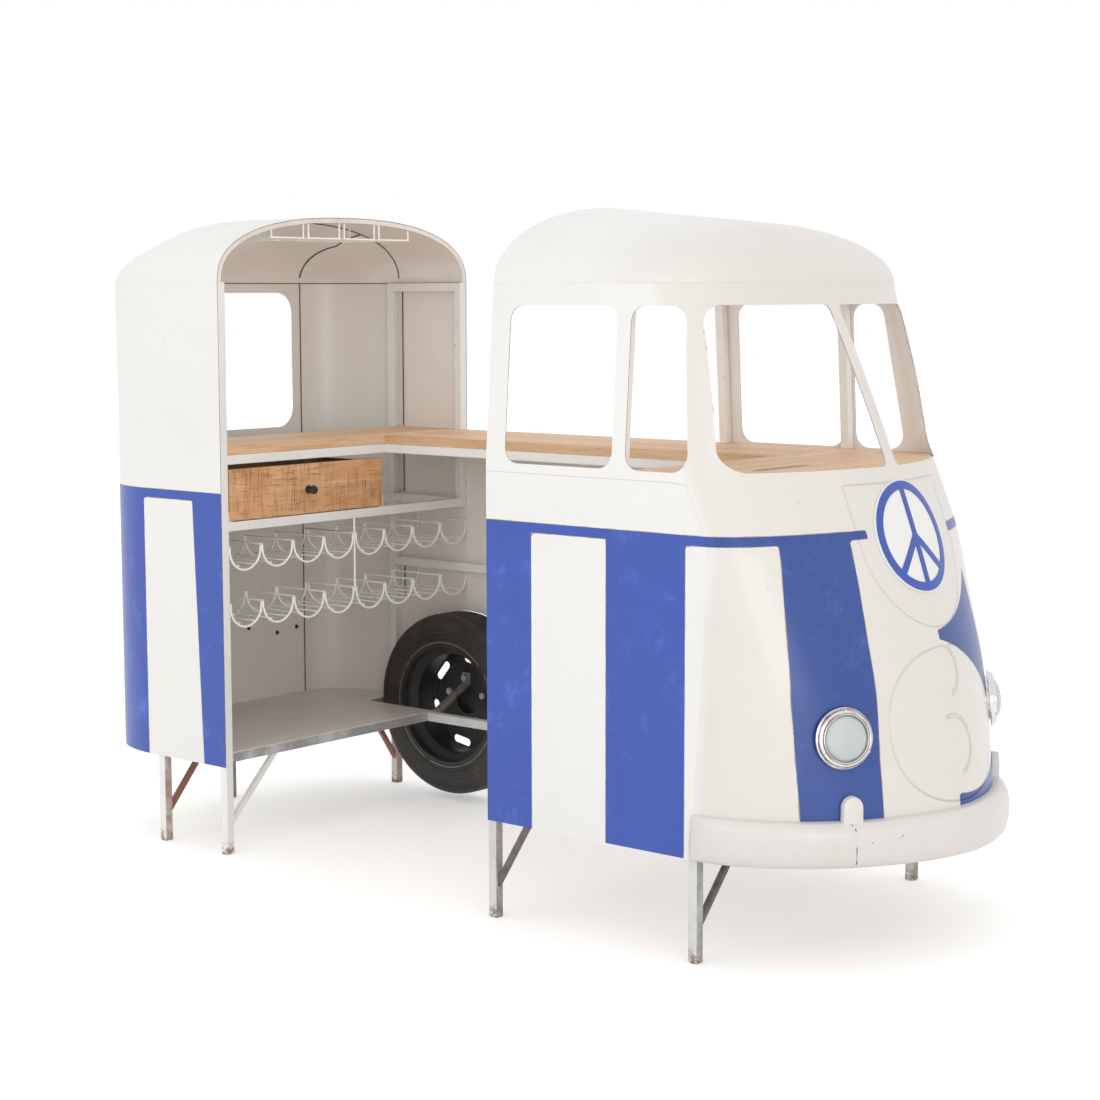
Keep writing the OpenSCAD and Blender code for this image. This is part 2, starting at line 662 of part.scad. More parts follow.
// Rim and disc in one, without the cup that closes the hub hole on the outside
module wheel_disc() difference() {
    r = bead_r - touch_gap;
    w = well_r - touch_gap;
    union() {
        rotate_extrude($fn = 120) polygon([[rim_r, 2], [rim_r, 5], [r, 5], [r, 28 * across],
            [w, 40 * across], [w, 62 * across], [r, 76 * across], [r, tyre_w - 5],
            [rim_r, tyre_w - 5], [rim_r, tyre_w - 2], [r - rim_t, tyre_w - 2],
            [r - rim_t, 78 * across], [w - rim_t, 64 * across], [w - rim_t, 38 * across],
            [r - rim_t, 26 * across], [r - rim_t, 2]]);
        rotate_extrude($fn = 120) polygon([[0, disc_y], [disc_r, disc_y],
            [w - rim_t, disc_y - 30], [w - 1, disc_y - 30], [disc_r + 6, disc_y],
            [disc_r, disc_y + disc_t], [0, disc_y + disc_t]]);
    }
    translate([0, 0, disc_y - 1]) cylinder(h = disc_t + 2, d = hub_d, $fn = 48);
    for (i = [0:slot_count - 1]) rotate([0, 0, slot_a + 360 * i / slot_count])
        translate([slot_r, 0, disc_y - 1]) {
            for (s = [-1, 1]) translate([0, s * slot_len / 2, 0])
                cylinder(h = disc_t + 2, d = slot_w, $fn = 24);
            translate([-slot_w / 2, -slot_len / 2, 0]) cube([slot_w, slot_len, disc_t + 2]);
        }
}

// The first nut holds the bracket too
module wheel_nuts() color(steel) place() on_axle()
    for (i = [0:4]) rotate([0, 0, -90 + 72 * i])
        translate([nut_r, 0, disc_y - nut_h - (i == 0 ? bracket_t : 0)])
            cylinder(h = nut_h, d = nut_d, $fn = 6);

// Bent flat bar from the base rail up to the wheel disc
module wheel_bracket() color(black) place()
    translate([wheel_x - bracket_w / 2, 0, 0]) rotate([90, 0, 90]) linear_extrude(bracket_w) {
        y0 = link_y + tube;
        y1 = wheel_in_y + disc_y;
        top = wheel_z + nut_r + bracket_w / 2;
        low = wheel_z + nut_r - nut_d / 2 - 4;
        polygon([[y0, base_z], [y0 + bracket_t, base_z], [y0 + bracket_t, base_top - bracket_t],
            [y1, low - bracket_t], [y1, top], [y1 - bracket_t, top], [y1 - bracket_t, low],
            [y0, base_top]]);
    }

// Frame of the cab

module cab_legs() color(white) place() {
    for (s = [-1, 1]) {
        side = s < 0 ? -in_y : in_y - tube;
        bar([cab_x, side, 0], [cab_x + tube, side + tube, s < 0 ? counter_z : board_z]);
        bar([cab_front, side - s * leg_inset, 0],
            [cab_front + tube, side - s * leg_inset + tube, base_top]);
        bar([front_post_x, side, base_top], [front_post_x + tube, side + tube, board_z - tube]);
    }
}

module cab_base_rails() color(white) place() {
    for (side = [-in_y, in_y - tube])
        bar([cab_x + tube, side, base_z], [cab_front, side + tube, base_top]);
    bar([cab_x, -in_y + tube, base_z], [cab_x + tube, in_y - tube, base_top]);
    bar([cab_front, -in_y + tube + leg_inset, base_z],
        [cab_front + tube, in_y - tube - leg_inset, base_top]);
}

module cab_counter_rails() color(white) place() {
    for (side = [-in_y, in_y - tube])
        bar([cab_x + tube, side, board_z - tube], [front_post_x + tube, side + tube, board_z]);
    bar([nose_board_x, -in_y + tube, board_z - tube],
        [nose_board_x + tube, in_y - tube, board_z]);
    bar([front_post_x, -in_y + tube, board_z - tube],
        [front_post_x + tube, in_y - tube, board_z]);
}

// Leaning posts beside the cab's side windows
module window_posts() color(white) place() {
    for (s = [0, 1]) mirror([0, s, 0])
        for (x = [cab_x, cab_x + win1_x + win1_w + (win_post - tube) / 2])
            translate([x, 0, 0]) rotate([90, 0, 90]) linear_extrude(tube) polygon([
                [-in_y, counter_z], [tube - in_y, counter_z], [tube - in_y, sill_z],
                [tube - in_y + cab_lean, cab_eaves], [cab_lean - in_y, cab_eaves],
                [-in_y, sill_z]]);
}

// Side view of a brace, from a leg's face at the origin up to the underside of a rail
module brace_side(reach, rise) {
    long = sqrt(reach * reach + rise * rise);
    polygon([[0, base_z - rise], [reach, base_z], [reach - brace_t * long / rise, base_z],
        [0, base_z - rise + brace_t * long / reach]]);
}

// A brace that runs across the van from the inner face of a near leg
module cross_brace(x, face, reach) translate([x + (tube - brace_t) / 2, face, 0])
    rotate([90, 0, 90]) linear_extrude(brace_t) brace_side(reach, brace_rise);

module leg_braces() color(steel) place() {
    face = -in_y + tube;
    cross_brace(-tube, face, 170);
    cross_brace(-near_leg_in, face, 150);
    mirror([0, 1, 0]) cross_brace(-far_leg_in, face, 120);
    for (s = [0, 1]) mirror([0, s, 0]) {
        cross_brace(cab_front, face + leg_inset, 160);
        translate([cab_x + tube, face - (tube - brace_t) / 2, 0]) rotate([90, 0, 0])
            linear_extrude(brace_t) brace_side(106, brace_rise);
    }
}

// Sheets of the cab

// Where the flat sides end, the tip of the nose and the squareness of its plan, by height
function flat_end(z) = cab_x + lookup(z, flat_ends);
function nose_tip(z) = nose_x - nose_rake
    * pow(max(min(z, win_top) - skirt_z, 0) / (sill_z - skirt_z), rake_power);
function plan_power(z) = lookup(z, plan_powers);
function cab_half(z) = half - cab_lean * min(max(z - sill_z, 0) / (cab_eaves - sill_z), 1);

// A point of the nose in the direction a, from -90 on the near side to 90 on the far side
function nose_pt(a, z, d) = [
    flat_end(z) + (nose_tip(z) - d - flat_end(z)) * pow(cos(a), 2 / plan_power(z)),
    (cab_half(z) - d) * bend(sin(a), 2 / plan_power(z)), z];
function nose_row(z, d, n = 44) = [for (i = [0:n]) nose_pt(-90 + 180 * i / n, z, d)];

// Distance along X of the nose's outer face at a point y and z
function nose_at(y, z) = flat_end(z) + (nose_tip(z) - flat_end(z))
    * pow(1 - pow(min(abs(y) / cab_half(z), 1), plan_power(z)), 1 / plan_power(z));

// Side sheet of the cab, upright to the sills and leaning above them
module cab_side(lean = 0) difference() {
    intersection() {
        translate([cab_x, 0, 0]) rotate([90, 0, 90]) linear_extrude(nose_x - cab_x) polygon([
            [-half, skirt_z], [-in_y, skirt_z], [-in_y, sill_z], [cab_lean - in_y, cab_eaves],
            [cab_lean - half, cab_eaves], [-half, sill_z]]);
        rotate([90, 0, 0]) linear_extrude(body_w) polygon(concat(
            [[cab_x - 1, cab_eaves + 1], [cab_x - 1, skirt_z - 1],
            [flat_end(skirt_z), skirt_z - 1]],
            [for (f = flat_ends) [cab_x + f[1], f[0]]],
            [[flat_end(cab_eaves), cab_eaves + 1]]));
    }
    side_windows(lean);
}

// Cutters for the windows of one side, reaching round the front corner
module side_windows(lean = 0) translate([cab_x, win_depth - half, sill_z]) rotate([90, 0, 0])
    linear_extrude(win_depth + 1) {
        top = win_top - sill_z;
        translate([win1_x, 0]) round_rect(win1_w, top, win_r);
        translate([win1_x + win1_w + win_post, 0])
            round_shape([[0, 0], [win2_w, 0], [win2_w - lean, top], [0, top]], win_r);
    }

module cab_near_sheet() color(white) place() cab_side();

module cab_far_sheet() color(white) place() mirror([0, 1, 0]) cab_side(far_win_lean);

module nose_skin(rows)
    skin([for (z = rows) nose_row(z, 0)], [for (z = rows) nose_row(z, sheet_t)]);

module nose_sheet() color(white) place() difference() {
    nose_skin(nose_rows);
    for (s = [-1, 1]) at_lamp(s) translate([0, 0, -30]) cylinder(h = 60, r = bowl_r + touch_gap);
}

// One half of the windscreen opening, drawn as seen from the front
module screen_half(cut = 0) hull() {
    top = win_top - sill_z;
    side = pillar_w / 2 + screen_w - cut - screen_r;
    middle = pillar_w / 2 + screen_in_r;
    for (y = [screen_r, top - screen_r])
        translate([side - (y > top / 2 ? cab_lean : 0), y]) circle(screen_r, $fn = 32);
    for (y = [screen_in_r, top - screen_in_r])
        translate([middle, y]) circle(screen_in_r, $fn = 32);
}

module windscreen_frame() color(white) place() difference() {
    nose_skin(screen_rows);
    for (s = [0, 1]) mirror([0, s, 0]) {
        side_windows(s * far_win_lean);
        translate([front_post_x, 0, sill_z]) rotate([90, 0, 90])
            linear_extrude(nose_reach) screen_half((1 - s) * far_screen_in);
    }
}

// Rows of one half of the cab roof, drawn in towards the line along its crown
function roof_rows(d, n = 10) = [for (j = [0:n]) let (a = 90 * j / n) [
    for (k = [0:2]) roof_pt(cab_x + k / 3 * (flat_end(cab_eaves) - cab_x), cab_half(cab_eaves) - d, a, d),
    for (i = [0:22]) let (p = nose_pt(-90 + 90 * i / 22, cab_eaves, d))
        roof_pt(p[0], -p[1], a, d)]];
function roof_pt(x, y, a, d) = let (x1 = min(x, flat_end(cab_eaves)),
    x2 = x1 + (x - x1) * cos(a))
    [x2, -y * cos(a), cab_eaves + (cab_rise - d - roof_fall * (x2 - cab_x)) * sin(a)];

module cab_roof() color(white) place()
    for (s = [0, 1]) mirror([0, s, 0]) skin(roof_rows(0), roof_rows(sheet_t), 3);

// Bumper, with a hollow section that hugs the nose

function bumper_reach(a) = (bumper_side + (bumper_out - bumper_side) * pow(cos(a), 0.6))
    * min(1, sqrt((90.5 - abs(a)) / bumper_end_a));
function bumper_rows(d, n = 44, m = 8) = [for (k = [0:m]) let (b = 180 * k / m)
    [for (i = [0:n]) let (a = -90 + 180 * i / n)
        nose_pt(a, skirt_z + bumper_h / 2 - (bumper_h / 2 - d) * bend(cos(b), 0.7),
            -touch_gap - (bumper_reach(a) - d) * bend(sin(b), 0.6))]];

module bumper() color(white) place() skin(bumper_rows(0), bumper_rows(bumper_t));

// Upright block with a round top, standing over the bumper in front of the nose
module overriders() color(white) place() difference() {
    for (s = [-1, 1])
        translate([nose_at(overrider_y, skirt_z + bumper_h) + nose_clear, s * overrider_y, skirt_z])
        rotate([0, 0, s * overrider_a]) rotate([90, 0, 90]) linear_extrude(overrider_t) {
            r = overrider_w / 2;
            translate([-r, bumper_h - 10]) square([2 * r, overrider_h + 10 - r]);
            translate([0, bumper_h + overrider_h - r]) circle(r, $fn = 48);
        }
    skin(bumper_rows(-touch_gap), bumper_rows(bumper_t));
    skin(bumper_rows(bumper_t - 1), bumper_rows(bumper_side - 1));
}

// Headlights

// Puts a part on the near or far headlight's axis, with +Z pointing out of the nose
module at_lamp(s) translate([nose_at(lamp_y, lamp_z), s * lamp_y, lamp_z])
    rotate([0, 90 - lamp_tilt, s * lamp_a]) children();

module headlight_bowls() color("silver") place() for (s = [-1, 1]) at_lamp(s)
    rotate_extrude($fn = 96) polygon([[0, -bowl_deep], [bowl_r * 0.55, -bowl_deep],
        [bowl_r, 0.2 - bowl_deep / 2], [bowl_r, lamp_seat], [bowl_r - bowl_t, lamp_seat],
        [bowl_r - bowl_t, -bowl_deep / 2], [bowl_r * 0.55 - bowl_t, bowl_t - bowl_deep],
        [0, bowl_t - bowl_deep]]);

module headlight_bulbs() color("ivory") place() for (s = [-1, 1]) at_lamp(s)
    translate([0, 0, bowl_t - bowl_deep]) rotate_extrude($fn = 48) polygon([[0, 0],
        [0.8 * bulb_r, 0], [0.8 * bulb_r, 0.28 * bulb_len], [0.6 * bulb_r, 0.33 * bulb_len],
        [0.9 * bulb_r, 0.5 * bulb_len], [bulb_r, 0.7 * bulb_len], [0.8 * bulb_r, 0.86 * bulb_len],
        [0.4 * bulb_r, 0.97 * bulb_len], [0, bulb_len]]);

module headlight_glasses() color("lightcyan", 0.5) place() for (s = [-1, 1]) at_lamp(s)
    translate([0, 0, lamp_seat]) rotate_extrude($fn = 96) {
        r = glass_d / 2;
        polygon(concat([[0, glass_rise], [0, glass_rise - glass_t]],
            [for (a = [75:-15:15]) [(r - glass_t) * cos(a), (glass_rise - glass_t) * sin(a)]],
            [[r - glass_t, 0], [bowl_r, 0], [bowl_r, lip_t], [r, lip_t]],
            [for (a = [15:15:75]) [r * cos(a), lip_t + (glass_rise - lip_t) * sin(a)]]));
    }

module headlight_rings() color("silver") place() for (s = [-1, 1]) at_lamp(s)
    translate([0, 0, lamp_seat]) rotate_extrude($fn = 96) polygon([
        [glass_d / 2 + touch_gap, lip_t + touch_gap], [bowl_r + touch_gap, lip_t + touch_gap],
        [bowl_r + touch_gap, -ring_back], [lamp_d / 2, -ring_back], [lamp_d / 2, 3],
        [lamp_d / 2 - 2, ring_t - 1], [lamp_d / 2 - 4, ring_t], [bowl_r - 1, ring_t],
        [glass_d / 2 + 1, ring_t - 2], [glass_d / 2 + touch_gap, ring_t - 4]]);

module headlight_screws() color("silver") place() for (s = [-1, 1]) at_lamp(s)
    for (a = [60, 180, 300]) rotate([0, 0, a]) translate([screw_r, 0, lamp_seat + ring_t])
        rotate_extrude($fn = 24) polygon([[0, 0], [3.5, 0], [3.2, 1.4], [2, 2.2], [0, 2.4]]);

// Emblem, bent to follow the nose

// A patch of the nose lifted by two distances, cut to a shape drawn square to its middle
module emblem_layer(low, high) intersection() {
    r = emblem_d / 2 + 4;
    zs = [for (j = [0:16]) emblem_z - r + 2 * r * j / 16];
    ys = [for (i = [0:20]) -r + 2 * r * i / 20];
    skin([for (z = zs) [for (y = ys) [nose_at(y, z) + high, y, z]]],
        [for (z = zs) [for (y = ys) [nose_at(y, z) + low, y, z]]]);
    translate([nose_tip(emblem_z), 0, emblem_z]) rotate([90 - emblem_tilt, 0, 90])
        translate([0, 0, -60]) linear_extrude(90) children();
}

module emblem_plate() color(white) place() emblem_layer(2 * touch_gap, emblem_t)
    circle(d = emblem_d, $fn = 96);

// A ring, an upright stroke and two slanting ones
module emblem_figure() color(blue) place() emblem_layer(emblem_t + touch_gap, emblem_t + 2) {
    r = emblem_d / 2 - 4;
    difference() {
        circle(r, $fn = 96);
        circle(r - emblem_stroke, $fn = 96);
    }
    bar_w = emblem_stroke - 3;
    translate([-bar_w / 2, bar_w / 2 - r]) square([bar_w, 2 * r - bar_w]);
    for (s = [-1, 1]) rotate(s * 45)
        translate([-bar_w / 2, bar_w / 2 - r]) square([bar_w, r - bar_w / 2]);
}

tail_posts();
rear_leg();
tail_top_rails();
base_rails();
shelf_sheet();
mid_rail();
tail_counter_rails();
bar_counter_rails();
side_rail();
tail_near_sheet();
tail_rear_sheet();
tail_far_sheet();
tail_roof();
roof_hoop();
rear_roof_sheet();
near_roof_gore();
far_roof_gore();
bar_side_sheet();
tail_counter();
bar_counter();
nose_counter();
drawer_front();
drawer_box();
drawer_knob();
drawer_guides();
upper_near_rack();
upper_far_rack();
lower_near_rack();
lower_far_rack();
rack_hanger();
glass_rack();
tyre();
wheel_rim();
wheel_nuts();
wheel_bracket();
cab_legs();
cab_base_rails();
cab_counter_rails();
window_posts();
cab_near_sheet();
cab_far_sheet();
nose_sheet();
windscreen_frame();
cab_roof();
leg_braces();
bumper();
overriders();
headlight_bowls();
headlight_bulbs();
headlight_glasses();
headlight_rings();
headlight_screws();
emblem_plate();
emblem_figure();
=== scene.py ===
"""Looks of a walk-in bar cabinet shaped like an old camper van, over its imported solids.

Shapes are worked out in millimetres on the van's own axes: x from the open arch of the tail
unit towards the nose, y across with the customer side at +y, z up from the floor.
"""
import math

import bmesh
import bpy
import numpy as np
from mathutils import Matrix, Vector


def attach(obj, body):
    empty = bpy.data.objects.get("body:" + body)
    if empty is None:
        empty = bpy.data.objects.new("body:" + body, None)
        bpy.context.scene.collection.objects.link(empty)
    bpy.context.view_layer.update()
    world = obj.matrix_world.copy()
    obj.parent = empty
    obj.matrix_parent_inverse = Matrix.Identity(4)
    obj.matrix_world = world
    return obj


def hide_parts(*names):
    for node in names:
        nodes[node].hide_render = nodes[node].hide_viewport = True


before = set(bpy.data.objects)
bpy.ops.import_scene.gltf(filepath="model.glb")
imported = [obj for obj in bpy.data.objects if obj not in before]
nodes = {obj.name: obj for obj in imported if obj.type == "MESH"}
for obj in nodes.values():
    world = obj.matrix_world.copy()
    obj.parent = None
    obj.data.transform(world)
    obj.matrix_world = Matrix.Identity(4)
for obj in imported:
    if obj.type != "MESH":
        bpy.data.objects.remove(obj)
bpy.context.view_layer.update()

MM = 0.001
MIDDLE = np.array([736.8228, 0.0, 0.0])        # the frame's origin on the van's axes
HALF, SKIRT, SHEET = 486.0, 240.0, 2.0         # body: half width, lower edge, thickness
TAIL_X, BARREL_X = -540.0, -270.0              # rear wall, rear end of the roof's barrel
TAIL_EAVES, TAIL_RISE, BELT = 1533.0, 177.0, (945.0, 977.0)
CORNER_X, CORNER_Y = 239.0, 160.0              # rear corners along and across the van
FLAT_X, FLAT_Y = TAIL_X + CORNER_X, HALF - CORNER_Y
ARCH_POWER, GORE_Y = 2.4, 322.0                # squareness of the arch, weld inside the gores
REAR_WINDOW = (-292.0, 292.0, 1101.0, 1505.0)
CAB_X, CAB_EAVES, CAB_LEAN, CAB_RISE = 937.0, 1525.0, 30.0, 188.0
SILL, WIN_TOP, CAB_TOP_X = 1106.0, 1475.0, 1380.0
FIRST_X, SECOND_X, PANEL_X = (995.0, 1315.0), 1353.0, (1077.0, 1300.0)
FRONTS = ((1528.0, 35.0), (1499.0, 58.0))      # second window: front x at the sill and its lean
NOSE_X, NOSE_LEAN = 1974.0, 219.0
LAMP_Y, LAMP_Z, LAMP_HOLE, LUG_Y = 319.0, 528.0, 56.0, 313.0
AXLE_X, AXLE_Z, ARCH_R = 8.0, 290.0, 269.0
TYRE_Y, TYRE_W, TYRE_R = 371.0, 131.0, 270.0


# ---------------------------------------------------------------- shapes in numpy

def bend(v, power):
    """Keeps the sign of v and raises its size to a power."""
    return np.sign(v) * np.abs(v) ** power


def table(z, rows, soft=36.0):
    """Straight-line lookup in rows of [height, value], averaged over soft mm each way."""
    rows = np.array(rows, float)
    steps = np.linspace(-soft, soft, 9)
    return sum(np.interp(z + s, rows[:, 0], rows[:, 1]) for s in steps) / len(steps)


def flat_end(z):
    """x where the cab's flat side ends and the nose starts."""
    return table(z, [[240, 1540], [640, 1570], [932, 1590], [1106, 1510], [1475, 1430],
                     [1525, 1400]])


def plan_power(z):
    """Squareness of the nose's plan."""
    return table(z, [[240, 1.8], [640, 1.92], [932, 1.7], [1106, 1.68], [1475, 2.4], [1525, 2.3]])


def nose_tip(z):
    """x of the nose's foremost line, which leans back by a power of the height."""
    return NOSE_X - NOSE_LEAN * ((np.clip(z, SKIRT, WIN_TOP) - SKIRT) / (SILL - SKIRT)) ** 1.588


def points_of(x, y, z):
    """Points from x, y and z, each of them a number or a grid."""
    return np.stack(np.broadcast_arrays(x, y, z), -1)


def cab_half(z):
    """Half width of the cab, which leans in above the sill."""
    return HALF - CAB_LEAN * np.clip((z - SILL) / (CAB_EAVES - SILL), 0, 1)


def nose_pt(a, z, d=0.0):
    """Nose at plan angle a in radians: a quarter superellipse each side, d mm inside the face."""
    c = np.clip(np.cos(a), 0, 1) ** (2 / plan_power(z))
    x = flat_end(z) + (nose_tip(z) - d - flat_end(z)) * c
    return points_of(x, (cab_half(z) - d) * bend(np.sin(a), 2 / plan_power(z)), z)


def nose_at(y, z):
    """x of the nose's face at y and z, from the superellipse's equation."""
    p = plan_power(z)
    r = np.clip(np.abs(y) / cab_half(z), 0, 1) ** p
    return flat_end(z) + (nose_tip(z) - flat_end(z)) * (1 - r) ** (1 / p)


def cab_side_y(x, z):
    """Half width of the cab at x and z: flat to flat_end, then the nose's superellipse."""
    p = plan_power(z)
    r = np.clip((x - flat_end(z)) / (nose_tip(z) - flat_end(z)), 0, 1) ** p
    return cab_half(z) * (1 - r) ** (1 / p)


def round_rect(u, v, u0, u1, v0, v1, r):
    """Signed distance in mm to a rectangle with rounded corners, less than 0 inside."""
    qu = np.abs(u - (u0 + u1) / 2) - (u1 - u0) / 2 + r
    qv = np.abs(v - (v0 + v1) / 2) - (v1 - v0) / 2 + r
    return np.hypot(np.maximum(qu, 0), np.maximum(qv, 0)) + np.minimum(np.maximum(qu, qv), 0) - r


def near_line(u, v, *points):
    """Distance in mm to a line through points."""
    out = []
    for (a, b), (c, d) in zip(points, points[1:]):
        t = np.clip(((u - a) * (c - a) + (v - b) * (d - b)) / ((c - a) ** 2 + (d - b) ** 2), 0, 1)
        out.append(np.hypot(u - a - t * (c - a), v - b - t * (d - b)))
    return np.min(out, axis=0)


def polygon(u, v, corners):
    """Signed distance in mm to a closed polygon, less than 0 inside it."""
    inside = np.zeros(np.shape(u), bool)
    for (a, b), (c, d) in zip(corners, corners[1:] + corners[:1]):
        if b != d:
            inside ^= ((b > v) != (d > v)) & (u < a + (c - a) * (v - b) / (d - b))
    edge = near_line(u, v, *corners, corners[0])
    return np.where(inside, -edge, edge)


def convex(u, v, corners):
    """Largest of the distances in mm beyond the sides of a convex outline, less than 0 inside;
    it stays straight round the corners, so that a painted corner comes out sharp."""
    pairs = list(zip(corners, corners[1:] + corners[:1]))
    way = np.sign(sum(a * d - c * b for (a, b), (c, d) in pairs))
    return np.max([way * ((u - a) * (d - b) - (v - b) * (c - a)) / math.hypot(c - a, d - b)
                   for (a, b), (c, d) in pairs], axis=0)


def box(u, v, u0, u1, v0, v1):
    """Largest distance in mm beyond the sides of an upright rectangle, less than 0 inside."""
    return np.max([u0 - u, u - u1, v0 - v, v - v1], axis=0)


def arch(u, v):
    """Distance in mm outside the wheel arch."""
    return np.hypot(u - AXLE_X, v - AXLE_Z) - ARCH_R


def rounded(corners, radii, n=9):
    """Corners of a convex outline replaced by arcs of the given radii, each arc tangent to the
    two sides that meet there."""
    out = []
    for k, r in enumerate(radii):
        p, a, b = (np.array(corners[j % len(corners)], float) for j in (k, k - 1, k + 1))
        a, b = (a - p) / np.linalg.norm(a - p), (b - p) / np.linalg.norm(b - p)
        half = math.acos(np.clip(a @ b, -1, 1)) / 2
        middle = p + (a + b) / np.linalg.norm(a + b) * r / math.sin(half)
        start, end = (p + w * r / math.tan(half) - middle for w in (a, b))
        t0, t1 = math.atan2(start[1], start[0]), math.atan2(end[1], end[0])
        t1 += 2 * math.pi * round((t0 - t1) / (2 * math.pi))
        out += [(middle[0] + r * math.cos(t), middle[1] + r * math.sin(t))
                for t in np.linspace(t0, t1, n)]
    return out


def snap(u, v, distance):
    """Moves grid points that are nearer to an outline than half a cell onto it, along the
    distance's slope. u, v and the result are grids; the slope is taken over 0.1 mm steps."""
    d = distance(u, v)
    gu = (distance(u + 0.1, v) - d) / 0.1
    gv = (distance(u, v + 0.1) - d) / 0.1
    n = np.hypot(gu, gv) + 1e-9
    gu, gv = gu / n, gv / n
    du, dv = (np.maximum(*np.abs(np.gradient(w))) for w in (u, v))
    near = np.abs(d) < 0.55 * (np.abs(gu) * du + np.abs(gv) * dv)
    return u - np.where(near, d * gu, 0), v - np.where(near, d * gv, 0)


def spread(*stops, step=10.0):
    """Numbers from the first stop to the last, evenly within each span, stops included."""
    out = []
    for a, b in zip(stops, stops[1:]):
        n = max(1, int(round((b - a) / step)))
        out += list(np.linspace(a, b, n, endpoint=False))
    return np.array(out + [stops[-1]])


def cells(values):
    """Mean of a grid's values over the corners of each cell."""
    return (values[1:, 1:] + values[:-1, 1:] + values[1:, :-1] + values[:-1, :-1]) / 4


def quads(rows, cols, loop_rows=False, loop_cols=False):
    """Corner numbers of the cells of a rows by cols grid, closed on itself where asked."""
    i, j = np.meshgrid(np.arange(rows - (not loop_rows)), np.arange(cols - (not loop_cols)),
                       indexing="ij")
    k, m = (i + 1) % rows, (j + 1) % cols
    return np.stack([i * cols + j, i * cols + m, k * cols + m, k * cols + j], -1).reshape(-1, 4)


def capped(rows, cols):
    """Faces of a pipe of rows rings with cols points each, with a flat face at both ends."""
    n = rows * cols
    return quads(rows, cols, False, True).tolist() + [list(range(cols))[::-1],
                                                      list(range(n - cols, n))]


def tube(path, radius, sides=8):
    """Points and faces of a round wire: a ring set square to the path at each of its points,
    and the ends closed with a low cap."""
    path = np.asarray(path, float)
    ahead = np.roll(path, -1, 0) - np.roll(path, 1, 0)
    ahead[0], ahead[-1] = path[1] - path[0], path[-1] - path[-2]
    ahead /= np.linalg.norm(ahead, axis=1)[:, None]
    side = np.cross(ahead, [0.31, 0.17, 0.93])
    side /= np.linalg.norm(side, axis=1)[:, None]
    up = np.cross(ahead, side)
    path = np.concatenate([path[:1] - ahead[:1] * radius * 0.3, path,
                           path[-1:] + ahead[-1:] * radius * 0.3])
    side = np.concatenate([side[:1], side, side[-1:]])
    up = np.concatenate([up[:1], up, up[-1:]])
    r = np.full(len(path), float(radius))
    r[[0, -1]] *= 0.7
    t = np.linspace(0, 2 * np.pi, sides, endpoint=False)
    ring = side[:, None] * np.cos(t)[None, :, None] + up[:, None] * np.sin(t)[None, :, None]
    points = path[:, None] + ring * r[:, None, None]
    return points.reshape(-1, 3), capped(len(path), sides)


def turned(profile, place, n=96):
    """Points and faces of a closed profile of [radius, height] turned about an axis; place is
    the 4x4 matrix of that axis."""
    profile = np.asarray(profile, float)
    t = np.linspace(0, 2 * np.pi, n, endpoint=False)
    x = profile[:, 0, None] * np.cos(t)
    y = profile[:, 0, None] * np.sin(t)
    z = np.broadcast_to(profile[:, 1, None], x.shape)
    points = np.stack([x, y, z, np.ones_like(x)], -1).reshape(-1, 4) @ np.array(place).T
    return points[:, :3], quads(len(profile), n, True, True).tolist()


def rounded_profile(corners, r, n=4):
    """A closed [radius, height] outline with each corner rounded by r, or by the third number
    that a corner carries, as points on a quadratic curve through the cut-back corner."""
    out = []
    for k, corner in enumerate(corners):
        p = np.array(corner[:2], float)
        a = np.array(corners[k - 1][:2], float) - p
        b = np.array(corners[(k + 1) % len(corners)][:2], float) - p
        la, lb = np.linalg.norm(a), np.linalg.norm(b)
        cut = min(corner[2] if len(corner) > 2 else r, la * 0.45, lb * 0.45)
        if cut < 0.05 or p[0] < 0.01:
            out.append(p)
            continue
        a, b = p + a / la * cut, p + b / lb * cut
        out += [(1 - t) ** 2 * a + 2 * t * (1 - t) * p + t * t * b
                for t in np.linspace(0, 1, n + 1)]
    return out


# ---------------------------------------------------------------- meshes

def put_in(name, mesh, mats, stands_for="", slot=None):
    """Makes a mesh an object of the bar's body, in place of the solids that it stands for."""
    obj = bpy.data.objects.new(name, mesh)
    bpy.context.scene.collection.objects.link(obj)
    for m in mats:
        mesh.materials.append(m)
    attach(obj, "bar")
    if stands_for:
        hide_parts(*stands_for.split())
    return obj


def settle(obj, sharp=38):
    """Applies a piece's modifiers, shades it smooth and marks its sharp edges."""
    if obj.modifiers:
        graph = bpy.context.evaluated_depsgraph_get()
        mesh = bpy.data.meshes.new_from_object(obj.evaluated_get(graph))
        obj.modifiers.clear()
        obj.data = mesh
    obj.data.polygons.foreach_set("use_smooth", np.ones(len(obj.data.polygons), bool))
    obj.data.set_sharp_from_angle(angle=math.radians(sharp))


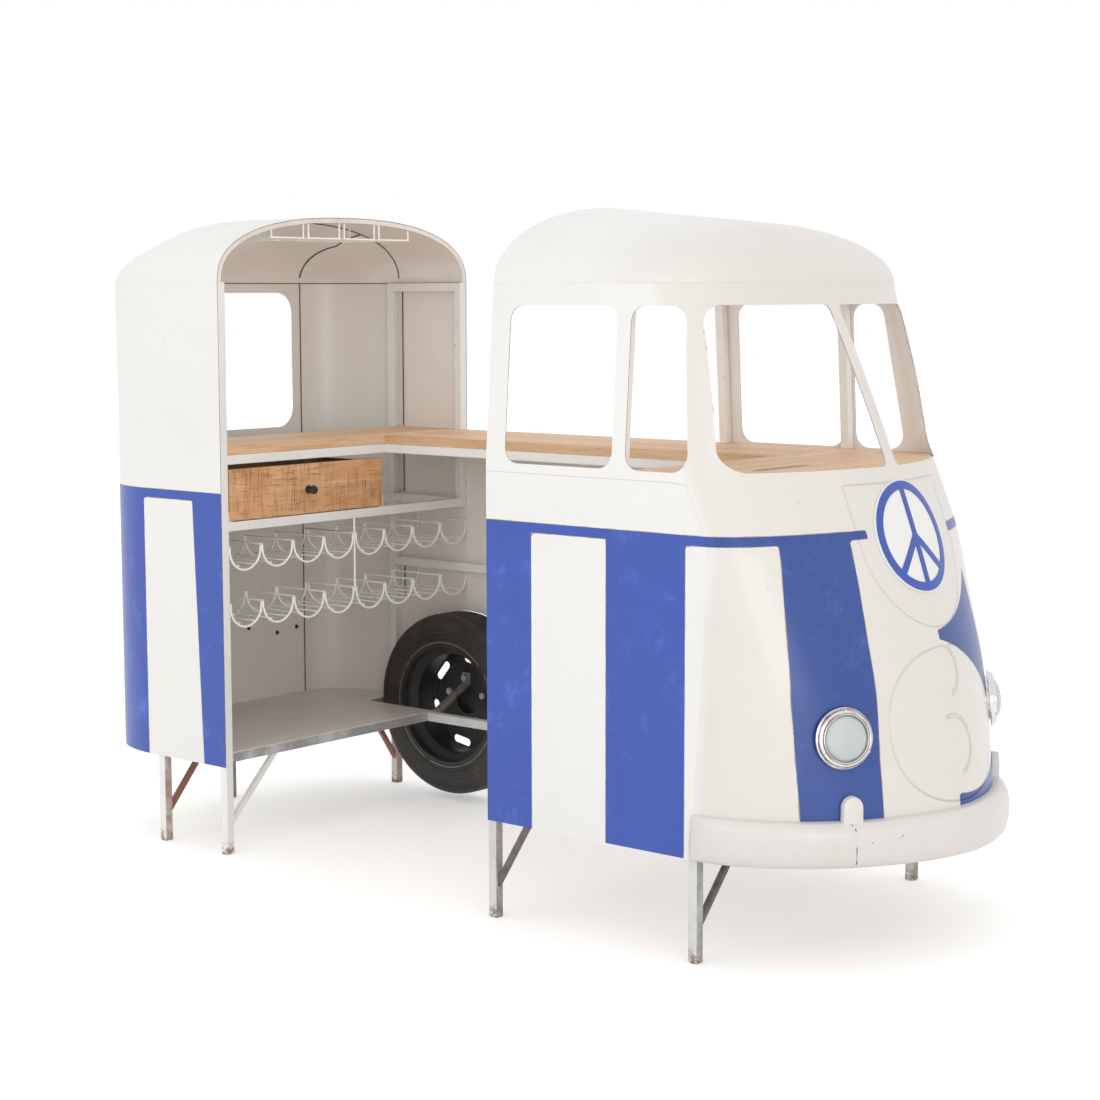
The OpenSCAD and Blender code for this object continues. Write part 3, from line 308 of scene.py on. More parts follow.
def sheet(name, grid, mats, outside, stands_for, keep=None, thick=SHEET, merge=0.0,
          slot="body_paint", **fields):
    """A thin sheet whose outer face is a grid of points and looks away from the point outside.
    Cells that aren't marked in keep are cut away, and points within merge mm are joined. Its
    inner face takes the second material and its cut edge the third. The fields are what its
    paint goes by, kept within 60 mm, and 60 where nothing is said."""
    points = grid.reshape(-1, 3)
    faces = quads(*grid.shape[:2])
    if keep is not None:
        faces = faces[keep.ravel()]
    a, b, c, d = (points[faces[:, k]] for k in range(4))
    if (np.cross(c - a, d - b) * ((a + c) / 2 - np.array(outside, float))).sum() < 0:
        faces = faces[:, ::-1]
    mesh = bpy.data.meshes.new(name)
    mesh.from_pydata(((points - MIDDLE) * MM).tolist(), [], faces.tolist())
    for key in ("blue", "press", "crack", "ridge", "nose") if fields else ():
        values = np.clip(fields.get(key, np.full(len(points), 60.0)), -60, 60)
        layer = mesh.attributes.new("edge_" + key, "FLOAT", "POINT")
        layer.data.foreach_set("value", values.astype(np.float32).ravel())
    mesh.validate()
    mesh.polygons.foreach_set("use_smooth", np.ones(len(mesh.polygons), bool))
    obj = put_in(name, mesh, mats, stands_for, slot)
    if merge:
        obj.modifiers.new("weld", "WELD").merge_threshold = merge * MM
    mod = obj.modifiers.new("thickness", "SOLIDIFY")
    mod.thickness, mod.offset, mod.use_quality_normals = thick * MM, -1, True
    mod.material_offset, mod.material_offset_rim = 1, 2
    settle(obj)


def many(name, parts, mats, sharp=38, **more):
    """One piece of several closed parts whose faces are made to look outwards."""
    points, faces, n = [], [], 0
    for p, f in parts:
        points.append(p)
        faces += [[k + n for k in q] for q in f]
        n += len(p)
    mesh = bpy.data.meshes.new(name)
    mesh.from_pydata(((np.concatenate(points) - MIDDLE) * MM).tolist(), [], faces)
    bm = bmesh.new()
    bm.from_mesh(mesh)
    bmesh.ops.remove_doubles(bm, verts=bm.verts, dist=1e-5)
    bmesh.ops.recalc_face_normals(bm, faces=bm.faces)
    bm.to_mesh(mesh)
    bm.free()
    settle(put_in(name, mesh, mats, **more), sharp)


# ---------------------------------------------------------------- shader values

class Value:
    """An output of a shader node, so that sums of values can be written as sums."""

    def __init__(self, tree, socket):
        self.tree, self.socket = tree, socket

    def maths(self, operation, *others):
        """A Math node that takes this value first and then the others."""
        return node(self.tree, "ShaderNodeMath", dict(enumerate((self, *others))),
                    operation=operation)[0]

    def __add__(self, other):
        return self.maths("ADD", other)

    def __sub__(self, other):
        return self.maths("SUBTRACT", other)

    def __mul__(self, other):
        return self.maths("MULTIPLY", other)

    def __abs__(self):
        return self.maths("ABSOLUTE")

    def most(self, other):
        return self.maths("MAXIMUM", other)

    def clamped(self):
        """Keeps the sum that was just written between 0 and 1."""
        self.socket.node.use_clamp = True
        return self


def plug(tree, value, socket):
    """Links a value to a socket, or sets the socket to a number or a colour."""
    if isinstance(value, Value):
        tree.links.new(value.socket, socket)
    elif socket.type == "RGBA" and len(value) == 3:
        socket.default_value = (*value, 1)
    else:
        socket.default_value = value


def values_of(tree, n):
    """A node's outputs by number and by name."""
    by_name = {s.name: Value(tree, s) for s in n.outputs}
    return {**by_name, **{k: Value(tree, s) for k, s in enumerate(n.outputs)}}


def node(tree, kind, inputs, **settings):
    """The outputs of a new node with its settings, and with its inputs set or linked."""
    n = tree.nodes.new(kind)
    for key, value in settings.items():
        setattr(n, key, value)
    for key, value in inputs.items():
        plug(tree, value, n.inputs[key])
    return values_of(tree, n)


def ramp(value, low, high, start=0.0, end=1.0):
    """Smooth step of a value from low to high."""
    return node(value.tree, "ShaderNodeMapRange", {"Value": value, "From Min": low,
                "From Max": high, "To Min": start, "To Max": end},
                interpolation_type="SMOOTHSTEP")[0]


def mix(factor, a, b, blend="MIX"):
    """Colour a turned into colour b as far as the factor says."""
    return node(factor.tree, "ShaderNodeMix", {0: factor, 6: a, 7: b}, data_type="RGBA",
                blend_type=blend)[2]


def tinted(factor, colour, tint):
    """A colour multiplied by a tint as far as the factor says."""
    return mix(factor, colour, tint, "MULTIPLY")


def times(colour, factor):
    """A colour with each channel multiplied by a factor."""
    return tuple(v * factor for v in colour)


def noise(place, scale, detail=3.0, rough=0.55):
    """Noise over a place in metres, from 0 to 1 and mostly near 0.5."""
    return node(place.tree, "ShaderNodeTexNoise", {"Vector": place, "Scale": scale,
                "Detail": detail, "Roughness": rough})[0]


def noisy(place, scale, detail, rough, low, high, start=0.0, end=1.0):
    """Smooth step of a noise from low to high, so patches where it is strong."""
    return ramp(noise(place, scale, detail, rough), low, high, start, end)


def drawn(place, *scale):
    """A place whose axes are scaled, so that a noise on it is drawn out."""
    return node(place.tree, "ShaderNodeMapping", {"Vector": place, "Scale": scale})[0]


def parts(vector):
    """The x, y and z of a vector."""
    out = node(vector.tree, "ShaderNodeSeparateXYZ", {0: vector})
    return out[0], out[1], out[2]


def place_of(t, turn=(0, 0, 0)):
    """Object coordinates in metres, turned."""
    return node(t, "ShaderNodeMapping", {"Vector": node(t, "ShaderNodeTexCoord", {})["Object"],
                "Rotation": turn})[0]


def field(t, name):
    """How far a point is outside one of a sheet's painted or pressed outlines, in mm."""
    return node(t, "ShaderNodeAttribute", {}, attribute_name="edge_" + name)[2]


def bumped(height, distance):
    """A normal bent by a height, of which 1 is worth distance metres."""
    return node(height.tree, "ShaderNodeBump", {"Height": height, "Distance": distance,
                "Strength": 1.0})[0]


def group(name, numbers, build):
    """A shader node group with a place and some numbers as inputs; build gives its outputs."""
    g = bpy.data.node_groups.new(name, "ShaderNodeTree")
    g.interface.new_socket("Place", in_out="INPUT", socket_type="NodeSocketVector")
    for label in numbers:
        g.interface.new_socket(label, in_out="INPUT", socket_type="NodeSocketFloat")
    made = build(values_of(g, g.nodes.new("NodeGroupInput")))
    for label in made:
        g.interface.new_socket(label, in_out="OUTPUT", socket_type="NodeSocketFloat")
    end = g.nodes.new("NodeGroupOutput")
    for label, value in made.items():
        plug(g, value, end.inputs[label])
    return g


def wear(given):
    """Faint broad stains, small specks and fine scuffs of paint."""
    p = given["Place"]
    broad = noisy(p, 2.2, 5, 0.62, 0.45, 0.78)
    fine = noisy(p, 38, 4, 0.7, 0.5, 0.8)
    speck = noisy(p, 95, 2, 0.5, 0.72, 0.78) * given["Specks"]
    return {"Dirt": ((broad + fine * 0.45) * given["Stain"]).clamped(),
            "Speck": speck * noisy(p, 6, 2, 0.5, 0.5, 0.66),
            "Height": noise(p, 3.4, 2, 0.5) + noise(p, 420, 2, 0.5) * 0.006}


def grain(given):
    """Wood along x: long streaks, growth rings and pores, as tone and height."""
    p = given["Place"]
    warp = noise(drawn(p, 1.3, 16, 16), 1.1, 4, 0.6)
    bands = node(p.tree, "ShaderNodeTexWave", {"Vector": drawn(p, 0.7, 9, 9), "Scale": 1.4,
                 "Distortion": 6.0, "Detail": 3.0, "Detail Scale": 1.6}, bands_direction="Y")[1]
    fibre = noise(drawn(p, 6, 170, 170), 1.0, 3, 0.6)
    pores = noisy(drawn(p, 22, 420, 420), 1.0, 2, 0.5, 0.6, 0.74)
    return {"Tone": (warp * 0.55 + bands * 0.22 + fibre * 0.28).clamped(), "Pores": pores,
            "Height": fibre * 0.5 - pores * (given["Coarse"] * 0.8)}


WEAR = group("paint_wear", ("Stain", "Specks"), wear)
GRAIN = group("wood_grain", ("Coarse",), grain)


# ---------------------------------------------------------------- materials

def finish_of(name, build, **plain):
    """A material with one Principled surface; build gives what drives its sockets."""
    m = bpy.data.materials.new(name)
    m.use_nodes = True
    t = m.node_tree
    driven = {"Roughness": 0.4, "Metallic": 0.0, **plain, **build(t)}
    for key, value in driven.items():
        plug(t, value, t.nodes["Principled BSDF"].inputs[key.replace("_", " ")])
    return m


WHITE, BLUE = (0.845, 0.835, 0.81), (0.036, 0.088, 0.42)
# Multipliers of painted shade for the nose and the roof's front, which face away from the light:
# the first for white paint, the second for blue.
FRONT_SHADE, FRONT_BLUE_SHADE = (0.90, 0.865, 0.835), (0.9, 0.86, 0.72)
# The middle colour of these multiplies the paint into painted shade along the pressed figures'
# outlines.
RUST_LINE, GROOVE_SHADE, CRACK = (0.33, 0.2, 0.13), (0.80, 0.77, 0.74), (0.07, 0.06, 0.05)


def painted_sheet(name, white, stain=0.35, specks=0.5, wave=0.0016, grime=(0.52, 0.47, 0.4),
                  blue=None, cracked=None, shaded_front=None):
    """Gloss paint on sheet steel. Where blue is given, the sheet's fields blue, nose and press
    say where it is blue, where painted shade darkens it as on the nose, and where figures are
    pressed, with a line of painted shade along their outlines. Where cracked is given, as the
    two ends of a noise's step, the fields crack and ridge say where the filler is cracked and
    stands proud. The last argument is two x in metres: painted shade darkens the paint from
    the first to the second."""
    def build(t):
        p = place_of(t)
        worn = node(t, "ShaderNodeGroup", {"Place": p, "Stain": stain, "Specks": specks},
                    node_tree=WEAR)
        dirty = tuple(c * 0.82 + g * 0.1 for c, g in zip(white, grime))
        colour, height = mix(worn["Dirt"], white, dirty), worn["Height"]
        # Painted shade: the paint is darkened from the first x to the second, towards the front.
        if shaded_front:
            colour = tinted(ramp(parts(p)[0], *shaded_front), colour, FRONT_SHADE)
        if blue:
            edge = field(t, "blue") + (noise(p, 260, 2) - 0.5) * 1.6
            rubbed = mix(noisy(p, 13, 6, 0.72, 0.52, 0.8), blue,
                         tuple(min(1, c * 1.5 + 0.035) for c in blue))
            rubbed = mix(noisy(p, 3.1, 4, 0.6, 0.35, 0.75, 0, 0.35), rubbed, times(blue, 0.8))
            # Painted shade: the nose's white and blue are darkened where the nose turns away from
            # the light.
            nose = ramp(field(t, "nose"), 12, -30)
            colour = mix(ramp(edge, 0.7, -0.7), tinted(nose, colour, FRONT_SHADE),
                         tinted(nose, rubbed, FRONT_BLUE_SHADE))
            line = ramp(abs(edge), 2.0, 0.3) * ramp(noise(p, 24), 0.38, 0.62, 0.05, 0.75)
            colour = mix(line, colour, RUST_LINE)
            press = field(t, "press")
            height = height + ramp(press, 3.2, -3.2, 0, 2.0)
            # Painted shade: a darker line along the outlines of the pressed figures.
            colour = tinted(ramp(abs(press - 2.0), 2.4, 0.4) * 0.6, colour, GROOVE_SHADE)
        if cracked:
            crack = field(t, "crack") + (noise(p, 30, 4) - 0.5) * 5.0
            line = ramp(abs(crack), 1.6, 0.5) * noisy(p, 34, 3, 0.7, *cracked)
            colour = mix(line * 0.85, colour, CRACK)
            height = height - line * 0.8 + ramp(abs(field(t, "ridge")), 5.0, 0.0) * 0.5
        return {"Base Color": mix(worn["Speck"], colour, (0.24, 0.15, 0.09)),
                "Roughness": ramp(worn["Dirt"], 0, 1, 0.3, 0.52), "Normal": bumped(height, wave)}
    return finish_of(name, build)


def painted_bar(name, colour, grey, stain=0.5, specks=1.0, bare=None, behind=None):
    """Satin paint on bars and wires, greyed in places and chipped to rust in small specks. Where
    bare is given, faces that look along x are thinly painted and show that steel, and the lowest
    40 mm are rusty. behind is an x in metres: bare then shows only behind it and under the base
    rails."""
    def build(t):
        p = place_of(t)
        worn = node(t, "ShaderNodeGroup", {"Place": p, "Stain": stain, "Specks": specks},
                    node_tree=WEAR)
        c = mix(worn["Dirt"], colour, grey)
        if bare:
            x, _, z = parts(p)
            facing = parts(node(t, "ShaderNodeTexCoord", {})["Normal"])[0]
            thin = ramp(abs(facing), 0.5, 0.8) * noisy(p, 9, 4, 0.7, 0.3, 0.55, 0.35, 0.9)
            if behind is not None:
                thin = thin * (ramp(x, behind, behind - 0.02) * ramp(z, 0.27, 0.25))
            foot = ramp(z, 0.045, 0.004) * noisy(p, 70, 4, 0.55, 0.4, 0.6)
            c = mix(foot, mix(thin, c, bare), (0.22, 0.14, 0.09))
        return {"Base Color": mix(worn["Speck"], c, (0.2, 0.12, 0.07)),
                "Roughness": ramp(worn["Dirt"], 0, 1, 0.38, 0.6),
                "Normal": bumped(worn["Height"], 0.0004)}
    return finish_of(name, build)


def bare_steel(name, colour, rust, amount, primer=None):
    """Welded mild steel with mill scale and rust in patches. Where primer is given, it is red
    with it behind x = -0.9 m and painted white from there to the arch."""
    def build(t):
        p = place_of(t)
        patches = noisy(p, 17, 6, 0.68, 0.66 - amount * 0.3, 0.72)
        c = mix(noisy(p, 46, 5, 0.6, 0.35, 0.75), colour, times(colour, 0.55))
        c = mix(patches, c, rust)
        if primer:
            x = parts(p)[0]
            c = mix(ramp(x, -0.6, -0.62), c, (0.84, 0.83, 0.80))
            c = mix(ramp(x, -0.9, -0.92), c, primer)
        return {"Base Color": c, "Metallic": ramp(patches, 0, 1, 0.35, 0.05),
                "Roughness": ramp(patches, 0, 1, 0.42, 0.8),
                "Normal": bumped(noise(p, 150, 4), 0.0006)}
    return finish_of(name, build)


def boards(name, light, dark, across=True, plank=0.087, saw=0.0, shift=0.0, knotty=0.7):
    """Oiled boards laid side by side along x, or along y where across is set, each of its own
    tone, with dark joints; saw is the strength of the cross marks of a rough band saw."""
    def build(t):
        p = place_of(t, (0, 0, math.pi / 2 if across else 0))
        side = (parts(p)[1] + (10 + shift)).maths("DIVIDE", plank)
        number = side.maths("FLOOR")
        tone = node(t, "ShaderNodeTexWhiteNoise", {"W": number}, noise_dimensions="1D")[0]
        joint = abs(side.maths("FRACT") - 0.5)
        gap = ramp(joint, 0.5 - 0.0011 / plank, 0.5 - 0.0003 / plank)
        step = node(t, "ShaderNodeCombineXYZ", {0: number * 3.7, 1: 0.0, 2: number * 1.9})[0]
        moved = node(t, "ShaderNodeVectorMath", {0: p, 1: step}, operation="ADD")[0]
        g = node(t, "ShaderNodeGroup", {"Place": moved, "Coarse": 1.0 + saw}, node_tree=GRAIN)
        c = mix(ramp(g["Tone"], 0.3, 0.75), light, dark)
        knots = noisy(drawn(moved, 3, 9, 9), 1.0, 1, 0.4, 0.73, 0.8)
        for mark, shade in ((tone * 0.35, 0.72), (g["Pores"] * 0.55, 0.4), (knots * knotty, 0.3)):
            c = mix(mark, c, times(dark, shade))
        c = mix(gap * 0.85, c, (0.05, 0.03, 0.02))
        height = g["Height"] - gap * 1.6
        if saw:
            cuts = noisy(drawn(p, 300, 9, 9), 1.0, 3, 0.65, 0.50, 0.66)
            dashes = noisy(drawn(p, 26, 40, 260), 1.0, 3, 0.65, 0.58, 0.70)
            marks = (cuts * noisy(p, 14, 4, 0.6, 0.36, 0.58)).most(
                dashes * noisy(p, 19, 3, 0.6, 0.44, 0.6))
            c = mix(marks * (saw * 0.62), c, times(dark, 0.28))
            c = tinted(noisy(p, 7, 3, 0.6, 0.4, 0.7, 0, 0.8), c, (0.92, 0.78, 0.66))
            height = height - marks * (saw * 0.9)
        return {"Base Color": c, "Roughness": ramp(g["Tone"], 0, 1, 0.62, 0.42),
                "Normal": bumped(height, 0.0007)}
    return finish_of(name, build)


def rings_of(p, scale):
    """Distance in metres from the wheel's axle, and streaks that run round the axle."""
    x, _, z = parts(p)
    x, z = x - (AXLE_X - MIDDLE[0]) * MM, z - AXLE_Z * MM
    radius = (x * x + z * z).maths("SQRT")
    return radius, node(p.tree, "ShaderNodeTexNoise", {"W": radius, "Scale": scale,
                        "Detail": 3.0}, noise_dimensions="1D")[0]


def rubber(t):
    """Tyre rubber, dusty in rings, with two moulded lines round the side wall."""
    p = place_of(t)
    radius, rings = rings_of(p, 160)
    dust = ramp(noise(p, 9, 6, 0.7) * 0.6 + rings * 0.4, 0.4, 0.66)
    moulded = ramp(abs(radius - 0.2), 0.0022, 0.0006).most(
        ramp(abs(radius - 0.2425), 0.0026, 0.0008))
    height = rings * 0.9 + moulded * 1.6 + noise(p, 240) * 0.4
    return {"Base Color": mix(dust, (0.017, 0.016, 0.015), (0.075, 0.068, 0.060)),
            "Roughness": ramp(dust, 0, 1, 0.55, 0.85), "Normal": bumped(height, 0.0012)}


def rim_black(t):
    """Dusty black paint on the rim, with a painted highlight round its outer flange edge."""
    p = place_of(t)
    radius, rings = rings_of(p, 120)
    dust = ramp(noise(p, 14, 6, 0.65) * 0.6 + rings * 0.4, 0.42, 0.7)
    # Painted highlight: a paler, patchy ring along the rim's outer flange edge.
    worn = ramp(abs(radius - 0.187), 0.0032, 0.0012) * ramp(noise(p, 30), 0.3, 0.5)
    c = mix(dust, (0.013, 0.013, 0.013), (0.052, 0.048, 0.043))
    return {"Base Color": mix(worn * 0.7, c, (0.30, 0.27, 0.24)),
            "Roughness": ramp(dust, 0, 1, 0.5, 0.8),
            "Normal": bumped(rings + noise(p, 60), 0.0006)}


def polished(t):
    """Plated metal with a faint haze and brown stains."""
    p = place_of(t)
    haze = noise(p, 90, 4, 0.6)
    shine = mix(haze, (0.84, 0.83, 0.83), (0.64, 0.62, 0.61))
    return {"Base Color": mix(noisy(p, 34, 4, 0.6, 0.5, 0.7, 0, 0.8), shine, (0.56, 0.42, 0.36)),
            "Roughness": ramp(haze, 0.3, 0.8, 0.07, 0.2), "Normal": bumped(noise(p, 60, 2), 0.0002)}


def cast_black(t):
    """Black cast metal, a little paler and duller where it is worn."""
    p = place_of(t)
    worn = noisy(p, 130, 4, 0.6, 0.45, 0.75)
    return {"Base Color": mix(worn, (0.012, 0.012, 0.012), (0.06, 0.055, 0.05)),
            "Roughness": ramp(worn, 0, 1, 0.3, 0.55), "Normal": bumped(noise(p, 500), 0.0003)}


def lens(t):
    """Pale green glass, clouded by a soft noise."""
    p = place_of(t)
    return {"Base Color": mix(noise(p, 14), (0.90, 0.94, 0.93), (0.80, 0.86, 0.86)),
            "Normal": bumped(noise(p, 70, 2), 0.0004)}


def bulb(t):
    """Frosted glass of the lamp's bulb."""
    p = place_of(t)
    return {"Base Color": mix(noise(p, 60, 2), (0.9, 0.89, 0.83), (0.75, 0.74, 0.7)),
            "Normal": bumped(noise(p, 300, 2), 0.0002)}


# Painted shade: body paint darkens the nose, and roof paint darkens the roof from x 0.38 to 0.85 m.
body_paint = painted_sheet("body_paint", WHITE, blue=BLUE, cracked=(0.47, 0.53))
roof_paint = painted_sheet("roof_paint", WHITE, 0.55, 0.8, 0.003, shaded_front=(0.38, 0.85))
# Inner faces: the same white paint tinted warmer, and a little darker in the cab, as painted shade
# inside the body.
inside_paint = painted_sheet("inside_paint", (0.90, 0.84, 0.78), 0.6, 0.9,
                             grime=(0.5, 0.42, 0.34))
wall_inside = painted_sheet("wall_inside", (0.86, 0.82, 0.77), 0.5, 0.6, grime=(0.5, 0.44, 0.36))
cab_inside = painted_sheet("cab_inside", (0.83, 0.795, 0.755), 0.5, 0.9, grime=(0.5, 0.43, 0.36))
shelf_paint = painted_sheet("shelf_paint", (0.78, 0.745, 0.70), 0.8, 0.9,
                            grime=(0.42, 0.38, 0.33))
bumper_paint = painted_sheet("bumper_paint", (0.735, 0.70, 0.665), 0.6, 1.0, 0.004,
                             cracked=(0.2, 0.36))
emblem_white = painted_sheet("emblem_white", WHITE, 0.2, 0.3)
emblem_blue = painted_sheet("emblem_blue", BLUE, 0.5, 0.3)
frame_paint = painted_bar("frame_paint", (0.87, 0.86, 0.83), (0.66, 0.63, 0.59), 0.35)
post_paint = painted_bar("post_paint", (0.87, 0.86, 0.83), (0.66, 0.63, 0.59), 0.35,
                         bare=(0.36, 0.21, 0.16), behind=-0.93)
hoop_paint = painted_bar("hoop_paint", (0.86, 0.80, 0.73), (0.62, 0.50, 0.38), 0.6)
rack_paint = painted_bar("rack_paint", (0.95, 0.94, 0.91), (0.8, 0.77, 0.72), 0.2)
leg_paint = painted_bar("leg_paint", (0.72, 0.715, 0.70), (0.42, 0.41, 0.39), 0.8, 2.0,
                        bare=(0.27, 0.265, 0.26))
raw_steel = bare_steel("raw_steel", (0.34, 0.33, 0.32), (0.16, 0.08, 0.05), 0.35)
# The braces' steel is about half as bright as raw steel: painted shade on the braces that face away
# from the light.
brace_steel = bare_steel("brace_steel", (0.17, 0.16, 0.155), (0.13, 0.07, 0.05), 0.4,
                         primer=(0.30, 0.13, 0.085))
nut_steel = bare_steel("nut_steel", (0.55, 0.54, 0.52), (0.2, 0.12, 0.08), 0.1)
# Dark steel of the weld seams, also used for the painted shadow strips beside the far post.
seam_steel = bare_steel("seam_steel", (0.10, 0.09, 0.08), (0.13, 0.085, 0.055), 0.6)
cut_edge = bare_steel("cut_edge", (0.36, 0.34, 0.32), (0.3, 0.21, 0.14), 0.5)
long_boards = boards("long_boards", (0.96, 0.70, 0.47), (0.72, 0.42, 0.22), across=False)
cross_boards = boards("cross_boards", (0.96, 0.70, 0.47), (0.72, 0.42, 0.22), shift=0.03)
drawer_wood = boards("drawer_wood", (0.99, 0.63, 0.35), (0.78, 0.42, 0.20), plank=0.9, saw=1.0,
                     shift=0.4, knotty=0.0)
# Wood of the drawer box, darkened as painted shade for the unlit inside of the closed drawer.
dark_wood = boards("dark_wood", (0.30, 0.18, 0.10), (0.18, 0.10, 0.05), plank=0.9, shift=0.4,
                   knotty=0.3)
knob_black = finish_of("knob_black", cast_black)
tyre_rubber = finish_of("tyre_rubber", rubber)
rim_paint = finish_of("rim_paint", rim_black)
chrome = finish_of("chrome", polished, Metallic=1.0)
lamp_glass = finish_of("lamp_glass", lens, Roughness=0.25, Transmission_Weight=0.45, IOR=1.3)
bulb_glass = finish_of("bulb_glass", bulb, Roughness=0.2)


# ---------------------------------------------------------------- painted fields

def union(*fields):
    """Least of several distances, so the distance to all the outlines together."""
    return np.min(np.broadcast_arrays(*fields), axis=0)


def tail_blue(x, z):
    """Blue of the tail's side: everything under the belt, less one white panel."""
    white = convex(x, z, [(-313.0, 180.0), (-313.0, 952.0), (-115.0, 952.0), (-83.0, 180.0)])
    return np.maximum(z - BELT[1], -white)


def side_blue(x, z):
    """Blue of the cab's side: two upright stripes under a belt."""
    return union(box(x, z, 900, 1700, 946, 970), box(x, z, 900, PANEL_X[0], 180, 970),
                 box(x, z, PANEL_X[1], 1525, 180, 970))


def nose_blue(y, z):
    """Blue of the nose: a stripe on the near side under the belt, and on the far side a field
    between two large arcs that ends in a short upright edge, and a wedge by the bumper."""
    left = np.interp(z, [344, 483, 616, 725, 833, 946], [-393, -400, -404, -399, -393, -384])
    right = np.interp(z, [345, 474, 605, 736, 866, 951], [-244, -245, -236, -230, -219, -213])
    stripe = np.max([left - y, y - right, z - 960], axis=0)
    belt = convex(y, z, [(-560.0, 970.0), (-160.0, 972.0), (-156.0, 953.0), (-560.0, 946.0)])
    between = np.max([-3 - y, y - 249 - (850 - z) * 0.11, 429 - np.hypot(y + 46, z - 1163),
                      445 - np.hypot(y + 116, z - 285)], axis=0)
    wedge = np.max([-27 - y, z - 470, y - 330, 425 - np.hypot(y - 42, z - 792)], axis=0)
    return union(stripe, belt, between, wedge, box(y, z, 212, 560, 940, 962))


def nose_press(y, z):
    """Outline of the round figures pressed into the nose: a large disc round the emblem and one
    under it, less two arcs that open to the near side."""
    upper = np.where(z > 944, np.abs(y - 14), np.hypot(y - 14, z - 944)) - 200
    upper = np.maximum(upper, z - 1070)
    lower = ((np.abs(y) / 212) ** 2.3 + (np.abs(z - 528) / 172) ** 2.3) ** (1 / 2.3) * 180 - 180
    ring = np.maximum(np.abs(np.hypot(y + 15, z - 480) - 66) - 4.5, -22 - y - (z - 480) * 0.3)
    small = np.maximum(np.abs(np.hypot(y + 12, z - 648) - 58) - 4.5, 5 - y)
    return np.maximum(np.minimum(upper, lower), -np.minimum(ring, small))


def nose_crack(y, z):
    """Distance to the crack in the filler beside the emblem, on the far side."""
    return near_line(y, z, (217, 1066), (210, 1009), (198, 944), (192, 892), (169, 848),
                     (125, 806), (68, 771), (42, 765))


# ---------------------------------------------------------------- cab

def lamp_place(s):
    """Matrix of a headlight's axis: out of the nose, tipped 6 degrees up and 32 to its side."""
    t, a = math.radians(84), math.radians(32 * s)
    turn = np.eye(4)
    ry = np.array([[math.cos(t), 0, math.sin(t)], [0, 1, 0], [-math.sin(t), 0, math.cos(t)]])
    rz = np.array([[math.cos(a), -math.sin(a), 0], [math.sin(a), math.cos(a), 0], [0, 0, 1]])
    turn[:3, :3] = rz @ ry
    turn[:3, 3] = (float(nose_at(np.array(LAMP_Y), np.array(LAMP_Z))), LAMP_Y * s, LAMP_Z)
    return turn


